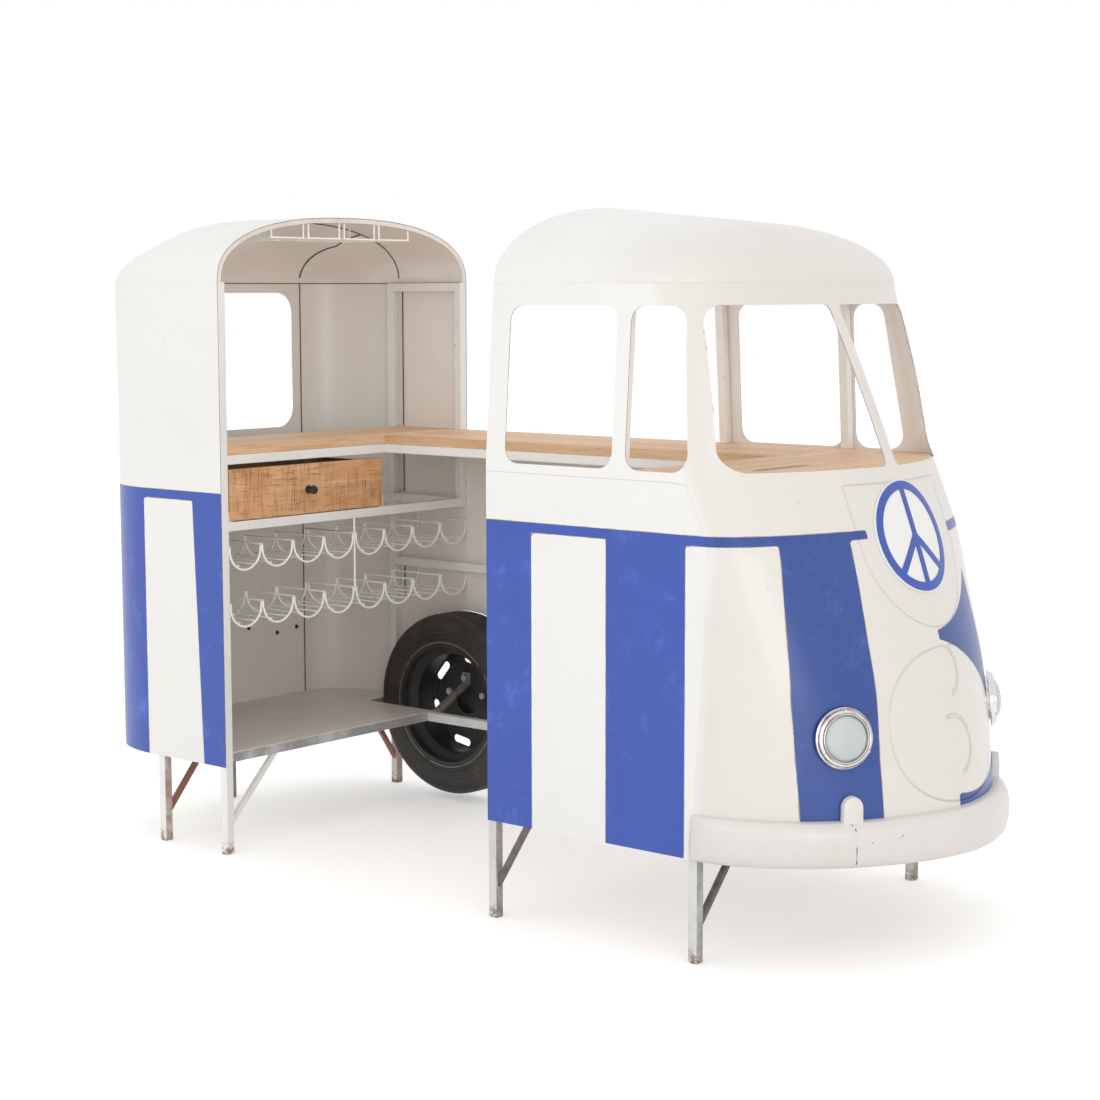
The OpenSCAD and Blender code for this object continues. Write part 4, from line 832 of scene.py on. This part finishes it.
def cab_skin():
    """Near side, nose and far side as one grid: straight columns to the second window, columns
    drawn out to its front edge and on to plan angle 60 degrees, round the nose by its plan
    angle, and the same on the far side. The windows' outlines pull the nearest points onto
    themselves and the cells inside are cut."""
    z = spread(SKIRT, 932, 946, 970, SILL, WIN_TOP, CAB_EAVES, step=9)[:, None]
    side = spread(CAB_X, FIRST_X[0], *PANEL_X, FIRST_X[1], SECOND_X)[None, :]
    nose = nose_pt(np.radians(np.linspace(-60, 60, 121))[None, :], z)
    halves, seconds = [], []
    for front, lean in FRONTS:
        edge = front - lean * np.clip((z - SILL) / (WIN_TOP - SILL), 0, 1)
        x = np.concatenate([np.broadcast_to(side, (len(z), side.shape[1])),
                            SECOND_X + (edge - SECOND_X) * np.linspace(0, 1, 19)[None, 1:-1],
                            edge + (nose[:, :1, 0] - edge) * np.linspace(0, 1, 21)[None, :-1]], 1)
        halves.append(points_of(x, -cab_side_y(x, z), z))
        seconds.append(rounded([(SECOND_X, SILL), (front, SILL), (front - lean, WIN_TOP),
                                (SECOND_X, WIN_TOP)], [38] * 4))
    grid = np.concatenate([halves[0], nose, halves[1][:, ::-1] * [1, -1, 1]], 1)
    X, Y, Z = np.moveaxis(grid, -1, 0).copy()

    first = rounded([(x, h) for h, xs in ((SILL, FIRST_X), (WIN_TOP, FIRST_X[::-1])) for x in xs],
                    [38] * 4)
    near_screen, far_screen = (
        rounded([(20, SILL), (448 - cut, SILL), (418 - cut, WIN_TOP), (20, WIN_TOP)],
                [16, 50, 50, 16]) for cut in (0, 14))
    far_side = Y > 0

    def windows(u, v):
        """Distance to the nearer of the two windows of a side."""
        second = np.where(far_side, polygon(u, v, seconds[1]), polygon(u, v, seconds[0]))
        return np.minimum(polygon(u, v, first), second)

    def screens(u, v):
        """Distance to the screen's opening on either side of the middle bar."""
        u = np.abs(u)
        return np.where(far_side, polygon(u, v, far_screen), polygon(u, v, near_screen))

    sides = (np.abs(Y) > 300) & (X < 1560)
    U, V = snap(X, Z, windows)
    X, Z = np.where(sides, U, X), np.where(sides, V, Z)
    Y = np.where(sides, np.sign(Y) * cab_side_y(X, Z), Y)
    U, V = snap(Y, Z, screens)
    moved = (X > 1470) & (windows(X, Z) > 4) & (np.hypot(U - Y, V - Z) > 1e-6)
    Y, Z = np.where(moved, U, Y), np.where(moved, V, Z)
    X = np.where(moved, nose_at(Y, Z), X)
    cx, cy, cz = cells(X), cells(Y), cells(Z)
    far_side = cy > 0
    hole = ((np.abs(cy) > 250) & (cx < 1560) & (windows(cx, cz) < 0)) | \
           ((cx > 1470) & (screens(cy, cz) < 0))
    for s in (-1, 1):
        places = np.stack([cx, cy, cz, np.ones_like(cx)]).reshape(4, -1)
        local = np.linalg.inv(lamp_place(s)) @ places
        near_axis = np.hypot(*local[:2]).reshape(cx.shape) < LAMP_HOLE
        hole |= near_axis & (cx > 1500) & (cy * s > 0)
    # The nose field places the painted shade on the nose, and the press field places the painted
    # shade along the pressed outlines.
    sheet("cab_skin", points_of(X, Y, Z), [body_paint, cab_inside, cut_edge], (1450, 0, 700),
          "cab_near_sheet cab_far_sheet nose_sheet windscreen_frame", keep=~hole,
          blue=np.where(X > 1540, nose_blue(Y, Z), side_blue(X, Z)),
          press=np.where(X > 1620, nose_press(Y, Z), 40),
          crack=np.where(X > 1620, nose_crack(Y, Z), 40),
          ridge=np.where(Z < 1080, X - flat_end(Z) - 6, 40), nose=flat_end(Z) - X)


def cab_top():
    """Roof of the cab: its rim follows the sides and the nose at the eaves, and each row is
    drawn in towards the crown by a cosine and lifted by a sine."""
    a = np.radians(np.linspace(-90, 90, 121))
    nose = nose_pt(a, np.full(a.shape, CAB_EAVES))
    out = CAB_TOP_X + (nose[0, 0] - CAB_TOP_X) * np.linspace(0, 1, 4)[1:-1]
    xs = np.concatenate([spread(CAB_X, CAB_TOP_X, step=15), out])
    near = points_of(xs, CAB_LEAN - HALF, CAB_EAVES)
    rim = np.concatenate([near, nose, near[::-1] * [1, -1, 1]])
    t = np.radians(90 * np.linspace(0, 1, 41))[:, None]
    crown = np.minimum(rim[:, 0], 1400)[None]
    x = crown + (rim[None, :, 0] - crown) * np.cos(t)
    z = CAB_EAVES + (CAB_RISE - 0.1 * (x - CAB_X)) * np.sin(t)
    sheet("cab_top", points_of(x, rim[None, :, 1] * np.cos(t), z),
          [roof_paint, cab_inside, cut_edge], (1350, 0, 1400), "cab_roof", merge=0.4)


# ---------------------------------------------------------------- tail

def corner(n=40, d=0.0):
    """Plan of a rear corner on the near side: a quarter ellipse, d mm inside the face."""
    a = np.radians(np.linspace(0, 90, n))
    return np.stack([FLAT_X - (CORNER_X - d) * np.sin(a),
                     -FLAT_Y - (CORNER_Y - d) * np.cos(a)], -1)


WALL = [body_paint, wall_inside, cut_edge]
ROOF = [roof_paint, inside_paint, cut_edge]
RIM = np.concatenate([[[BARREL_X, -HALF]], corner()])      # of a gore, on the near side


def tail_side(name, s):
    """Side sheet of the tail with its rounded corner; the far one is cut round the wheel."""
    flat = spread(FLAT_X, 0)[::-1][:-1]
    plan = np.concatenate([np.stack([flat, np.full(flat.shape, -HALF)], -1), corner()])
    X, Z = np.meshgrid(plan[:, 0], spread(SKIRT, *BELT, TAIL_EAVES))
    keep = None
    if s > 0:
        U, V = snap(X, Z, arch)
        level = (X > FLAT_X - 0.5) & (V >= SKIRT - 0.01)
        X, Z = np.minimum(np.where(level, U, X), 0), np.where(level, V, Z)
        keep = arch(cells(X), cells(Z)) > 0
    along = np.concatenate([[0], np.cumsum(np.hypot(*np.diff(plan, axis=0).T))])
    sheet(name + "_skin", points_of(X, plan[:, 1] * -s, Z), WALL, (-200, 0, 900),
          name + "_sheet", keep=keep, blue=tail_blue(-np.broadcast_to(along, X.shape), Z))


def tail_back():
    """Flat rear sheet with its rounded window, blue under the belt with a white middle panel."""
    Y, Z = np.meshgrid(spread(-FLAT_Y, REAR_WINDOW[0], -130, 130, REAR_WINDOW[1], FLAT_Y),
                       spread(SKIRT, *BELT, *REAR_WINDOW[2:], TAIL_EAVES))

    def window(u, v):
        """Distance to the rear window."""
        return round_rect(u, v, *REAR_WINDOW, 60)

    Y, Z = snap(Y, Z, window)
    sheet("tail_back_skin", points_of(TAIL_X, Y, Z), WALL, (-200, 0, 900), "tail_rear_sheet",
          keep=window(cells(Y), cells(Z)) > 0,
          blue=np.maximum(Z - BELT[1], -box(Y, Z, -130.0, 130.0, 100.0, BELT[0])))


def bar_side():
    """Flat sheet of the customer side between the tail and the cab, cut round the wheel, with
    three blue panels under a blue belt."""
    X, Z = np.meshgrid(spread(0, 90, 300, 520, 730, CAB_X), spread(SKIRT, BELT[0], 971, 1077))
    U, V = snap(X, Z, arch)
    X, Z = np.maximum(U, 0), np.maximum(V, SKIRT)
    panels = (-50, 1000, BELT[0]), (-50, 90, 100), (300, 520, 100), (730, 1000, 100)
    blue = union(*(box(X, Z, x0, x1, z0, 971.0) for x0, x1, z0 in panels))
    sheet("bar_side_skin", points_of(X, HALF, Z), WALL, (470, 0, 700),
          "bar_side_sheet", keep=arch(cells(X), cells(Z)) > 0, blue=blue)


def rim_power(x):
    """Squareness of the rear roof over the rim at x: 2.4 by the barrel, 1.7 from 150 mm behind."""
    return ARCH_POWER - 0.7 * np.clip((BARREL_X - x) / 150, 0, 1)


def arch_row(a, d=0.0):
    """y and z of the barrel's superellipse arch at angle a, d mm inside the face."""
    return ((HALF - d) * bend(np.cos(a), 2 / ARCH_POWER),
            TAIL_EAVES + (TAIL_RISE - d) * bend(np.sin(a), 2 / ARCH_POWER))


def tail_top():
    """Barrel of the tail's roof: the arch carried along x."""
    y, z = arch_row(np.radians(np.linspace(0, 180, 97)))
    X, Y = np.meshgrid(spread(BARREL_X, 0, step=15), y, indexing="ij")
    sheet("tail_roof_skin", points_of(X, Y, z), ROOF, (-135, 0, 1500), "tail_roof")


def dome(name, rim, stands_for):
    """Rounded rear roof over a rim, meeting the barrel's arch: each row is the rim drawn in to
    the crown by the power of a cosine and lifted by the power of a sine."""
    a = np.radians(np.linspace(0, 90, 49))[:, None]
    q = 2 / rim_power(rim[None, :, 0])
    c, s = np.clip(np.cos(a), 0, 1) ** q, np.sin(a) ** q
    grid = points_of(BARREL_X + (rim[:, 0] - BARREL_X) * c, rim[:, 1] * c,
                     TAIL_EAVES + TAIL_RISE * s)
    grid[-1, :, :2] = BARREL_X, 0
    sheet(name, grid, ROOF, (BARREL_X, 0, 1500), stands_for, merge=0.2)


def gore_seam(side):
    """Line inside a gore where its sheet crosses the upright plane that carries on the rear
    wall's edge: for each rim point the row angle at which the drawn-in y comes to GORE_Y."""
    rim = corner(44, 2.6)[::-1]
    rim = rim[np.abs(rim[:, 1]) > GORE_Y + 2]
    rim = np.concatenate([rim, [[BARREL_X - 1, 2.6 - HALF]]])
    p = rim_power(rim[:, 0])
    p[-1] = ARCH_POWER
    c = GORE_Y / np.abs(rim[:, 1])
    a = np.arccos(np.clip(c ** (p / 2), 0, 1))
    x = BARREL_X + (rim[:, 0] - BARREL_X) * c
    x[-1] = BARREL_X - 1
    z = TAIL_EAVES + (TAIL_RISE - 2.5) * np.sin(a) ** (2 / p)
    return points_of(x, side * GORE_Y, z)


def eaves_line(plan, radius):
    """Bead round the tail at its eaves, along a plan of the near side and its mirror image."""
    plan = np.concatenate([plan, plan[::-1] * [1, -1]])
    return tube(np.concatenate([plan, np.full((len(plan), 1), TAIL_EAVES)], 1), radius)


def seams():
    """Weld beads: dark ones inside the tail where its sheets meet, and thin painted ones along
    the eaves outside; with them, dark strips beside the far post paint the shadow of the gap there."""
    dark = []
    for side in (-1, 1):
        dark.append(tube(gore_seam(side), 2.6))
        dark.append(tube([(-537, side * 325, z) for z in (279, 800, 1533)], 1.8))
    # Painted shadow: dark strips in the gap beside the far post.
    for low, top in ((585, 700), (905, 1074), (1106, 1528)):
        dark.append(tube([(-256, 482, z) for z in (low, (low + top) / 2, top)], 1.6))
    y, z = arch_row(np.radians(np.linspace(3, 177, 60)), 3.4)
    dark.append(tube(points_of(BARREL_X, y, z), 1.4))
    dark.append(eaves_line(np.concatenate([[[-26.0, 2.4 - HALF]], corner(30, 2.6)]), 1.3))
    many("inside_seams", dark, [seam_steel])
    t = np.radians(np.linspace(-90, 90, 121))
    rim = np.concatenate([[[CAB_X, CAB_LEAN - HALF, CAB_EAVES]],
                          nose_pt(t, np.full(t.shape, CAB_EAVES)),
                          [[CAB_X, HALF - CAB_LEAN, CAB_EAVES]]])
    tail = eaves_line(np.concatenate([[[0.0, -HALF]], corner()]), 0.9)
    many("eaves_seams", [tail, tube(rim, 0.9)], [roof_paint])


def wall_bolts():
    """Three black round-headed bolts in the rear wall of the tail, over the shelf."""
    outline = rounded_profile([[0.01, 0], [6.5, 0], [6.5, 1.5], [5.6, 3.6], [3.4, 5.2],
                               [0.01, 5.8]], 0.8, 3)
    many("wall_bolts", [turned(outline, [[0, 0, 1, -538], [0, 1, 0, y], [-1, 0, 0, z],
                                         [0, 0, 0, 1.0]], 28)
                        for y, z in ((94, 501), (210, 474), (291, 483))], [knob_black])


# ---------------------------------------------------------------- bumper, wheel and lamps

def bumper():
    """Bumper that hugs the nose: at each plan angle the reach swells out by the power of a sine
    over the height, with a rolled upper edge, less shallow dents from a few summed sines."""
    a = np.radians(np.linspace(-90, 90, 301))[None, :]
    b = np.radians(np.linspace(0, 180, 41))[:, None]
    deg = np.degrees(a)
    reach = (18 + 24 * np.clip(np.cos(a), 0, 1) ** 0.6) \
        * np.minimum(1, np.sqrt((90.5 - np.abs(deg)) / 7))
    dent = 1.1 * np.sin(deg / 4.1 + 1) * np.sin(b * 1.7) + 0.8 * np.sin(deg / 2.3) * np.sin(b * 3.1)
    knock = 2.2 * np.exp(-((deg + 21) / 2.6) ** 2) + 1.8 * np.exp(-((deg - 24) / 2.2) ** 2)
    roll = 1.6 * np.exp(-((np.degrees(b) - 148) / 9) ** 2)
    d = -0.2 - np.maximum(reach - np.abs(dent) - knock * np.sin(b) - roll - 0.3, 0.2) \
        * bend(np.sin(b), 0.6)
    grid = nose_pt(a + 0 * b, SKIRT + 52.5 - 52.5 * bend(np.cos(b), 0.7) + 0 * a, d)
    Y, Z = grid[..., 1], grid[..., 2]
    marks = union(near_line(Y, Z, (-326, 236), (-331, 280), (-329, 352)),
                  near_line(Y, Z, (-256, 316), (-247, 302), (-236, 318)) + 0.5,
                  near_line(Y, Z, (64, 312), (92, 318)) + 0.8)
    sheet("bumper_shell", grid, [bumper_paint, raw_steel, cut_edge], (1500, 0, 292), "bumper",
          thick=2.6, slot="bumper_paint", crack=marks)


def overriders():
    """Two upright lugs behind the bumper's upper edge: an outline that flares at the foot and is
    round at the top, swelled towards its middle in four steps, set square to the nose."""
    low, top, half, shells = 318, 375, 24, []
    t = np.linspace(0, 1, 25)[:14] / np.linspace(0, 1, 25)[13]
    ang = np.linspace(0, np.pi / 2, 12)[1:]
    wide = np.concatenate([half + 4 * (1 - t) ** 3, half * np.cos(ang)])[:, None]
    high = np.concatenate([low + (top - low) * t, top + 26 * np.sin(ang)])[:, None]
    u = np.linspace(-1, 1, 17)[None, :]
    loops = []
    for depth, pull in ((0.0, 1.0), (13.0, 1.0), (17.0, 0.93), (18.5, 0.78), (19.0, 0.3)):
        g = np.stack(np.broadcast_arrays(depth, wide * u * pull,
                                         high - (1 - pull) * 0.35 * (high - low)), -1)
        loops.append(np.concatenate([g[:, 0], g[-1, 1:-1], g[::-1, -1], g[0, -2:0:-1]]))
    x, y, z = np.moveaxis(np.stack(loops), -1, 0)
    foot = float(nose_at(np.array(LUG_Y), np.array(345.0))) + 3
    for s in (-1, 1):
        c, d = math.cos(math.radians(36 * s)), math.sin(math.radians(36 * s))
        out = np.stack([foot + x * c - y * d, LUG_Y * s + x * d + y * c, z], -1)
        shells.append((out.reshape(-1, 3), capped(*x.shape)))
    many("overrider_lugs", shells, [roof_paint], stands_for="overriders", slot="bumper_paint")


def tyre():
    """Tyre turned about the axle, with shoulders, ribs and tread grooves."""
    outer = [[176, 8, 3], [182, 3, 4], [204, 0.5, 6], [224, 0.5, 8], [252, 3, 10], [264, 10, 8],
             [TYRE_R - 0.6, 24, 6]]
    tread = [[TYRE_R - deep, h + off, r] for h in (37, 56, 75, 94) for deep, off, r in (
        (0, -3.2, 0.4), (5.5, -2.6, 0.6), (5.5, 2.6, 0.6), (0, 3.2, 0.4))]
    back = [[r, TYRE_W - h, bow] for r, h, bow in outer[::-1]]
    inner = [[176, 20], [224, 10], [248, 14], [258, 28]]
    inner = [[r, TYRE_W - h, 2 if r == 176 else 6] for r, h in inner] + \
        [[r, h, 2 if r == 176 else 6] for r, h in inner[::-1]]
    axle = [[1, 0, 0, AXLE_X], [0, 0, 1, TYRE_Y], [0, -1, 0, AXLE_Z], [0, 0, 0, 1.0]]
    many("tyre_tread", [turned(rounded_profile(outer + tread + back + inner, 3), axle, 160)],
         [tyre_rubber], stands_for="tyre", slot="tyre_rubber")


def lamps():
    """Ribbed lenses and polished rings set on each headlight's axis."""
    outline = [[51, 13.4, 0.4], [53.4, 13.4, 0.3], [53.4, 5, 0.3], [69, 5, 1], [69, 9.5, 1.5],
               [67, 11.5, 0.8], [65.4, 7.2, 0.4], [64.2, 7.2, 0.4], [63.4, 17, 1.6],
               [60.5, 20.4, 1.8], [57.2, 20.4, 1.0], [56.6, 15.5, 0.3], [55.6, 15.5, 0.3],
               [55, 22, 0.8], [53.4, 22.6, 0.9], [51, 19, 1]]
    radii = np.concatenate([[0.01], np.linspace(3, 50.2, 28)])
    R, T = np.meshgrid(radii, np.linspace(0, 2 * np.pi, 144, endpoint=False), indexing="ij")
    domed = 13 + 23 * np.sqrt(np.clip(1 - (R / 50.6) ** 2, 0, 1))
    rib = 0.45 * np.cos(R * np.sin(T) * 2 * np.pi / 6.2) * np.clip((46 - R) / 6, 0, 1)
    lip = np.full((1, R.shape[1]), 52.4)
    r = np.concatenate([R, lip, lip, R[::-1] * 0.93])
    z = np.concatenate([domed, 0 * lip + 12.6, 0 * lip + 10.2, (domed - 4.2 + rib)[::-1]])
    t = np.broadcast_to(T[:1], r.shape)
    lens_shape = np.stack([r * np.cos(t), r * np.sin(t), z, np.ones_like(r)], -1).reshape(-1, 4)
    glass, ring = [], []
    for place in (lamp_place(-1), lamp_place(1)):
        glass.append(((lens_shape @ place.T)[:, :3], quads(*r.shape, False, True).tolist()))
        ring.append(turned(rounded_profile(outline, 1, 5), place, 128))
    many("lamp_lenses", glass, [lamp_glass], 50, stands_for="headlight_glasses",
         slot="lamp_glass")
    many("lamp_rings", ring, [chrome], stands_for="headlight_rings", slot="chrome")


cab_skin()
cab_top()
tail_side("tail_near", -1)
tail_side("tail_far", 1)
tail_back()
bar_side()
tail_top()
dome("near_gore_skin", RIM, "near_roof_gore")
dome("far_gore_skin", RIM * [1, -1], "far_roof_gore")
dome("rear_roof_skin", np.stack([np.full(41, TAIL_X), np.linspace(-FLAT_Y, FLAT_Y, 41)], -1),
     "rear_roof_sheet")
seams()
wall_bolts()
bumper()
overriders()
tyre()
lamps()


# ---------------------------------------------------------------- solids that stay

def dress(names, material, round_edge=0.0, sharp=30):
    """A finish for solids that are shown as they are, with their edges eased."""
    for n in names.split():
        o = nodes[n]
        o.data.materials.clear()
        o.data.materials.append(material)
        if round_edge:
            o.modifiers.new("weld", "WELD").merge_threshold = 0.00002
            ease = o.modifiers.new("ease", "BEVEL")
            ease.width, ease.segments = round_edge * MM, 2
            ease.limit_method, ease.angle_limit = "ANGLE", math.radians(sharp)


dress("tail_posts", post_paint, 2.2)
dress("tail_top_rails mid_rail tail_counter_rails bar_counter_rails side_rail "
      "window_posts cab_counter_rails", frame_paint, 2.2)
dress("roof_hoop", hoop_paint, 0.6)
dress("drawer_guides", frame_paint, 0.6)
dress("base_rails cab_base_rails cab_legs rear_leg", leg_paint, 2.2)
# The braces take the darkened steel that paints their shade.
dress("leg_braces", brace_steel, 1.2)
dress("shelf_sheet", shelf_paint, 0.5)
dress("bar_counter", long_boards, 2.0)
dress("tail_counter nose_counter", cross_boards, 2.0)
dress("drawer_front", drawer_wood, 1.6)
# The drawer box takes the darkened wood that paints the shade inside the drawer.
dress("drawer_box", dark_wood, 0.8)
dress("drawer_knob", knob_black, 0.4)
dress("upper_near_rack upper_far_rack lower_near_rack lower_far_rack rack_hanger glass_rack",
      rack_paint)
dress("wheel_rim", rim_paint, 0.6, 35)
dress("wheel_bracket", raw_steel, 0.6, 35)
dress("wheel_nuts", nut_steel, 1.2)
dress("headlight_bowls headlight_screws", chrome)
dress("headlight_bulbs", bulb_glass)
dress("emblem_plate", emblem_white, 0.6)
dress("emblem_figure", emblem_blue, 0.5)


# ---------------------------------------------------------------- floor, light and camera

AMBIENT, WHITENING, FLOOR = 0.93, 0.35, (0.88, 0.87, 0.86)
LENS, PHOTO = 2246.95, 1100                      # camera's lens and the photo's width in pixels
CAMERA_AT, CAMERA_TURN = (3.729447, -4.460070, 1.5), (39.9745, 6.4993, -0.107)
LIGHTS = (("key", (-0.6, -6.0, 3.0), (-0.5, 0, 0.9), 4.0, 42),
          ("front", (7.4, -5.4, 1.5), (-0.9, 0.1, 1.0), 3.4, 112))


def seen(t):
    """1 for rays that come from the camera, by a mirror or through glass too, and otherwise 0."""
    ray = node(t, "ShaderNodeLightPath", {})
    return ray["Is Camera Ray"].most(ray["Is Glossy Ray"]).most(ray["Is Transmission Ray"])


def link_in(name, data):
    """A new object of the studio, linked into the scene."""
    obj = bpy.data.objects.new(name, data)
    bpy.context.scene.collection.objects.link(obj)
    return obj


def floor():
    """Pale floor that reads as white to the camera and keeps the shadow on it."""
    me = bpy.data.meshes.new("studio_floor")
    me.from_pydata([(-30, -30, 0), (30, -30, 0), (30, 30, 0), (-30, 30, 0)], [], [(0, 1, 2, 3)])
    m = bpy.data.materials.new("studio_floor")
    m.use_nodes = True
    t = m.node_tree
    glow = node(t, "ShaderNodeEmission", {"Color": (1, 1, 1), "Strength": seen(t) * WHITENING})[0]
    matt = node(t, "ShaderNodeBsdfDiffuse", {"Color": FLOOR})[0]
    both = node(t, "ShaderNodeAddShader", {0: glow, 1: matt})[0]
    plug(t, both, t.nodes["Material Output"].inputs[0])
    me.materials.append(m)
    link_in("studio_floor", me)


def surroundings():
    """World, white to the camera and a little darker as light, and two square lights."""
    world = bpy.data.worlds.new("studio")
    bpy.context.scene.world = world
    world.use_nodes = True
    t = world.node_tree
    plug(t, seen(t) * (1 - AMBIENT) + AMBIENT, t.nodes["Background"].inputs["Strength"])
    plug(t, (1, 1, 1), t.nodes["Background"].inputs["Color"])
    for name, at, to, size, power in LIGHTS:
        lamp = bpy.data.lights.new(name, "AREA")
        lamp.shape, lamp.size, lamp.energy = "SQUARE", size, power
        o = link_in(name, lamp)
        o.location = at
        o.rotation_euler = (Vector(to) - Vector(at)).to_track_quat("-Z", "Y").to_euler()


def camera():
    """The photograph's camera: yaw to the left, pitch down and roll, in degrees."""
    scene = bpy.context.scene
    scene.view_settings.view_transform = "Standard"
    cam = bpy.data.cameras.new("camera")
    cam.sensor_width, cam.lens = 36, LENS / PHOTO * 36
    cam.clip_start, cam.clip_end = 0.1, 200
    yaw, pitch, roll = (math.radians(v) for v in CAMERA_TURN)
    f = Vector((-math.sin(yaw) * math.cos(pitch), math.cos(yaw) * math.cos(pitch),
                -math.sin(pitch)))
    r = Vector((math.cos(yaw), math.sin(yaw), 0))
    u = r.cross(f)
    right, up = r * math.cos(roll) + u * math.sin(roll), u * math.cos(roll) - r * math.sin(roll)
    scene.camera = link_in("camera", cam)
    scene.camera.matrix_world = Matrix.Translation(CAMERA_AT) @ Matrix(
        (right, up, -f)).transposed().to_4x4()


floor()
surroundings()
camera()
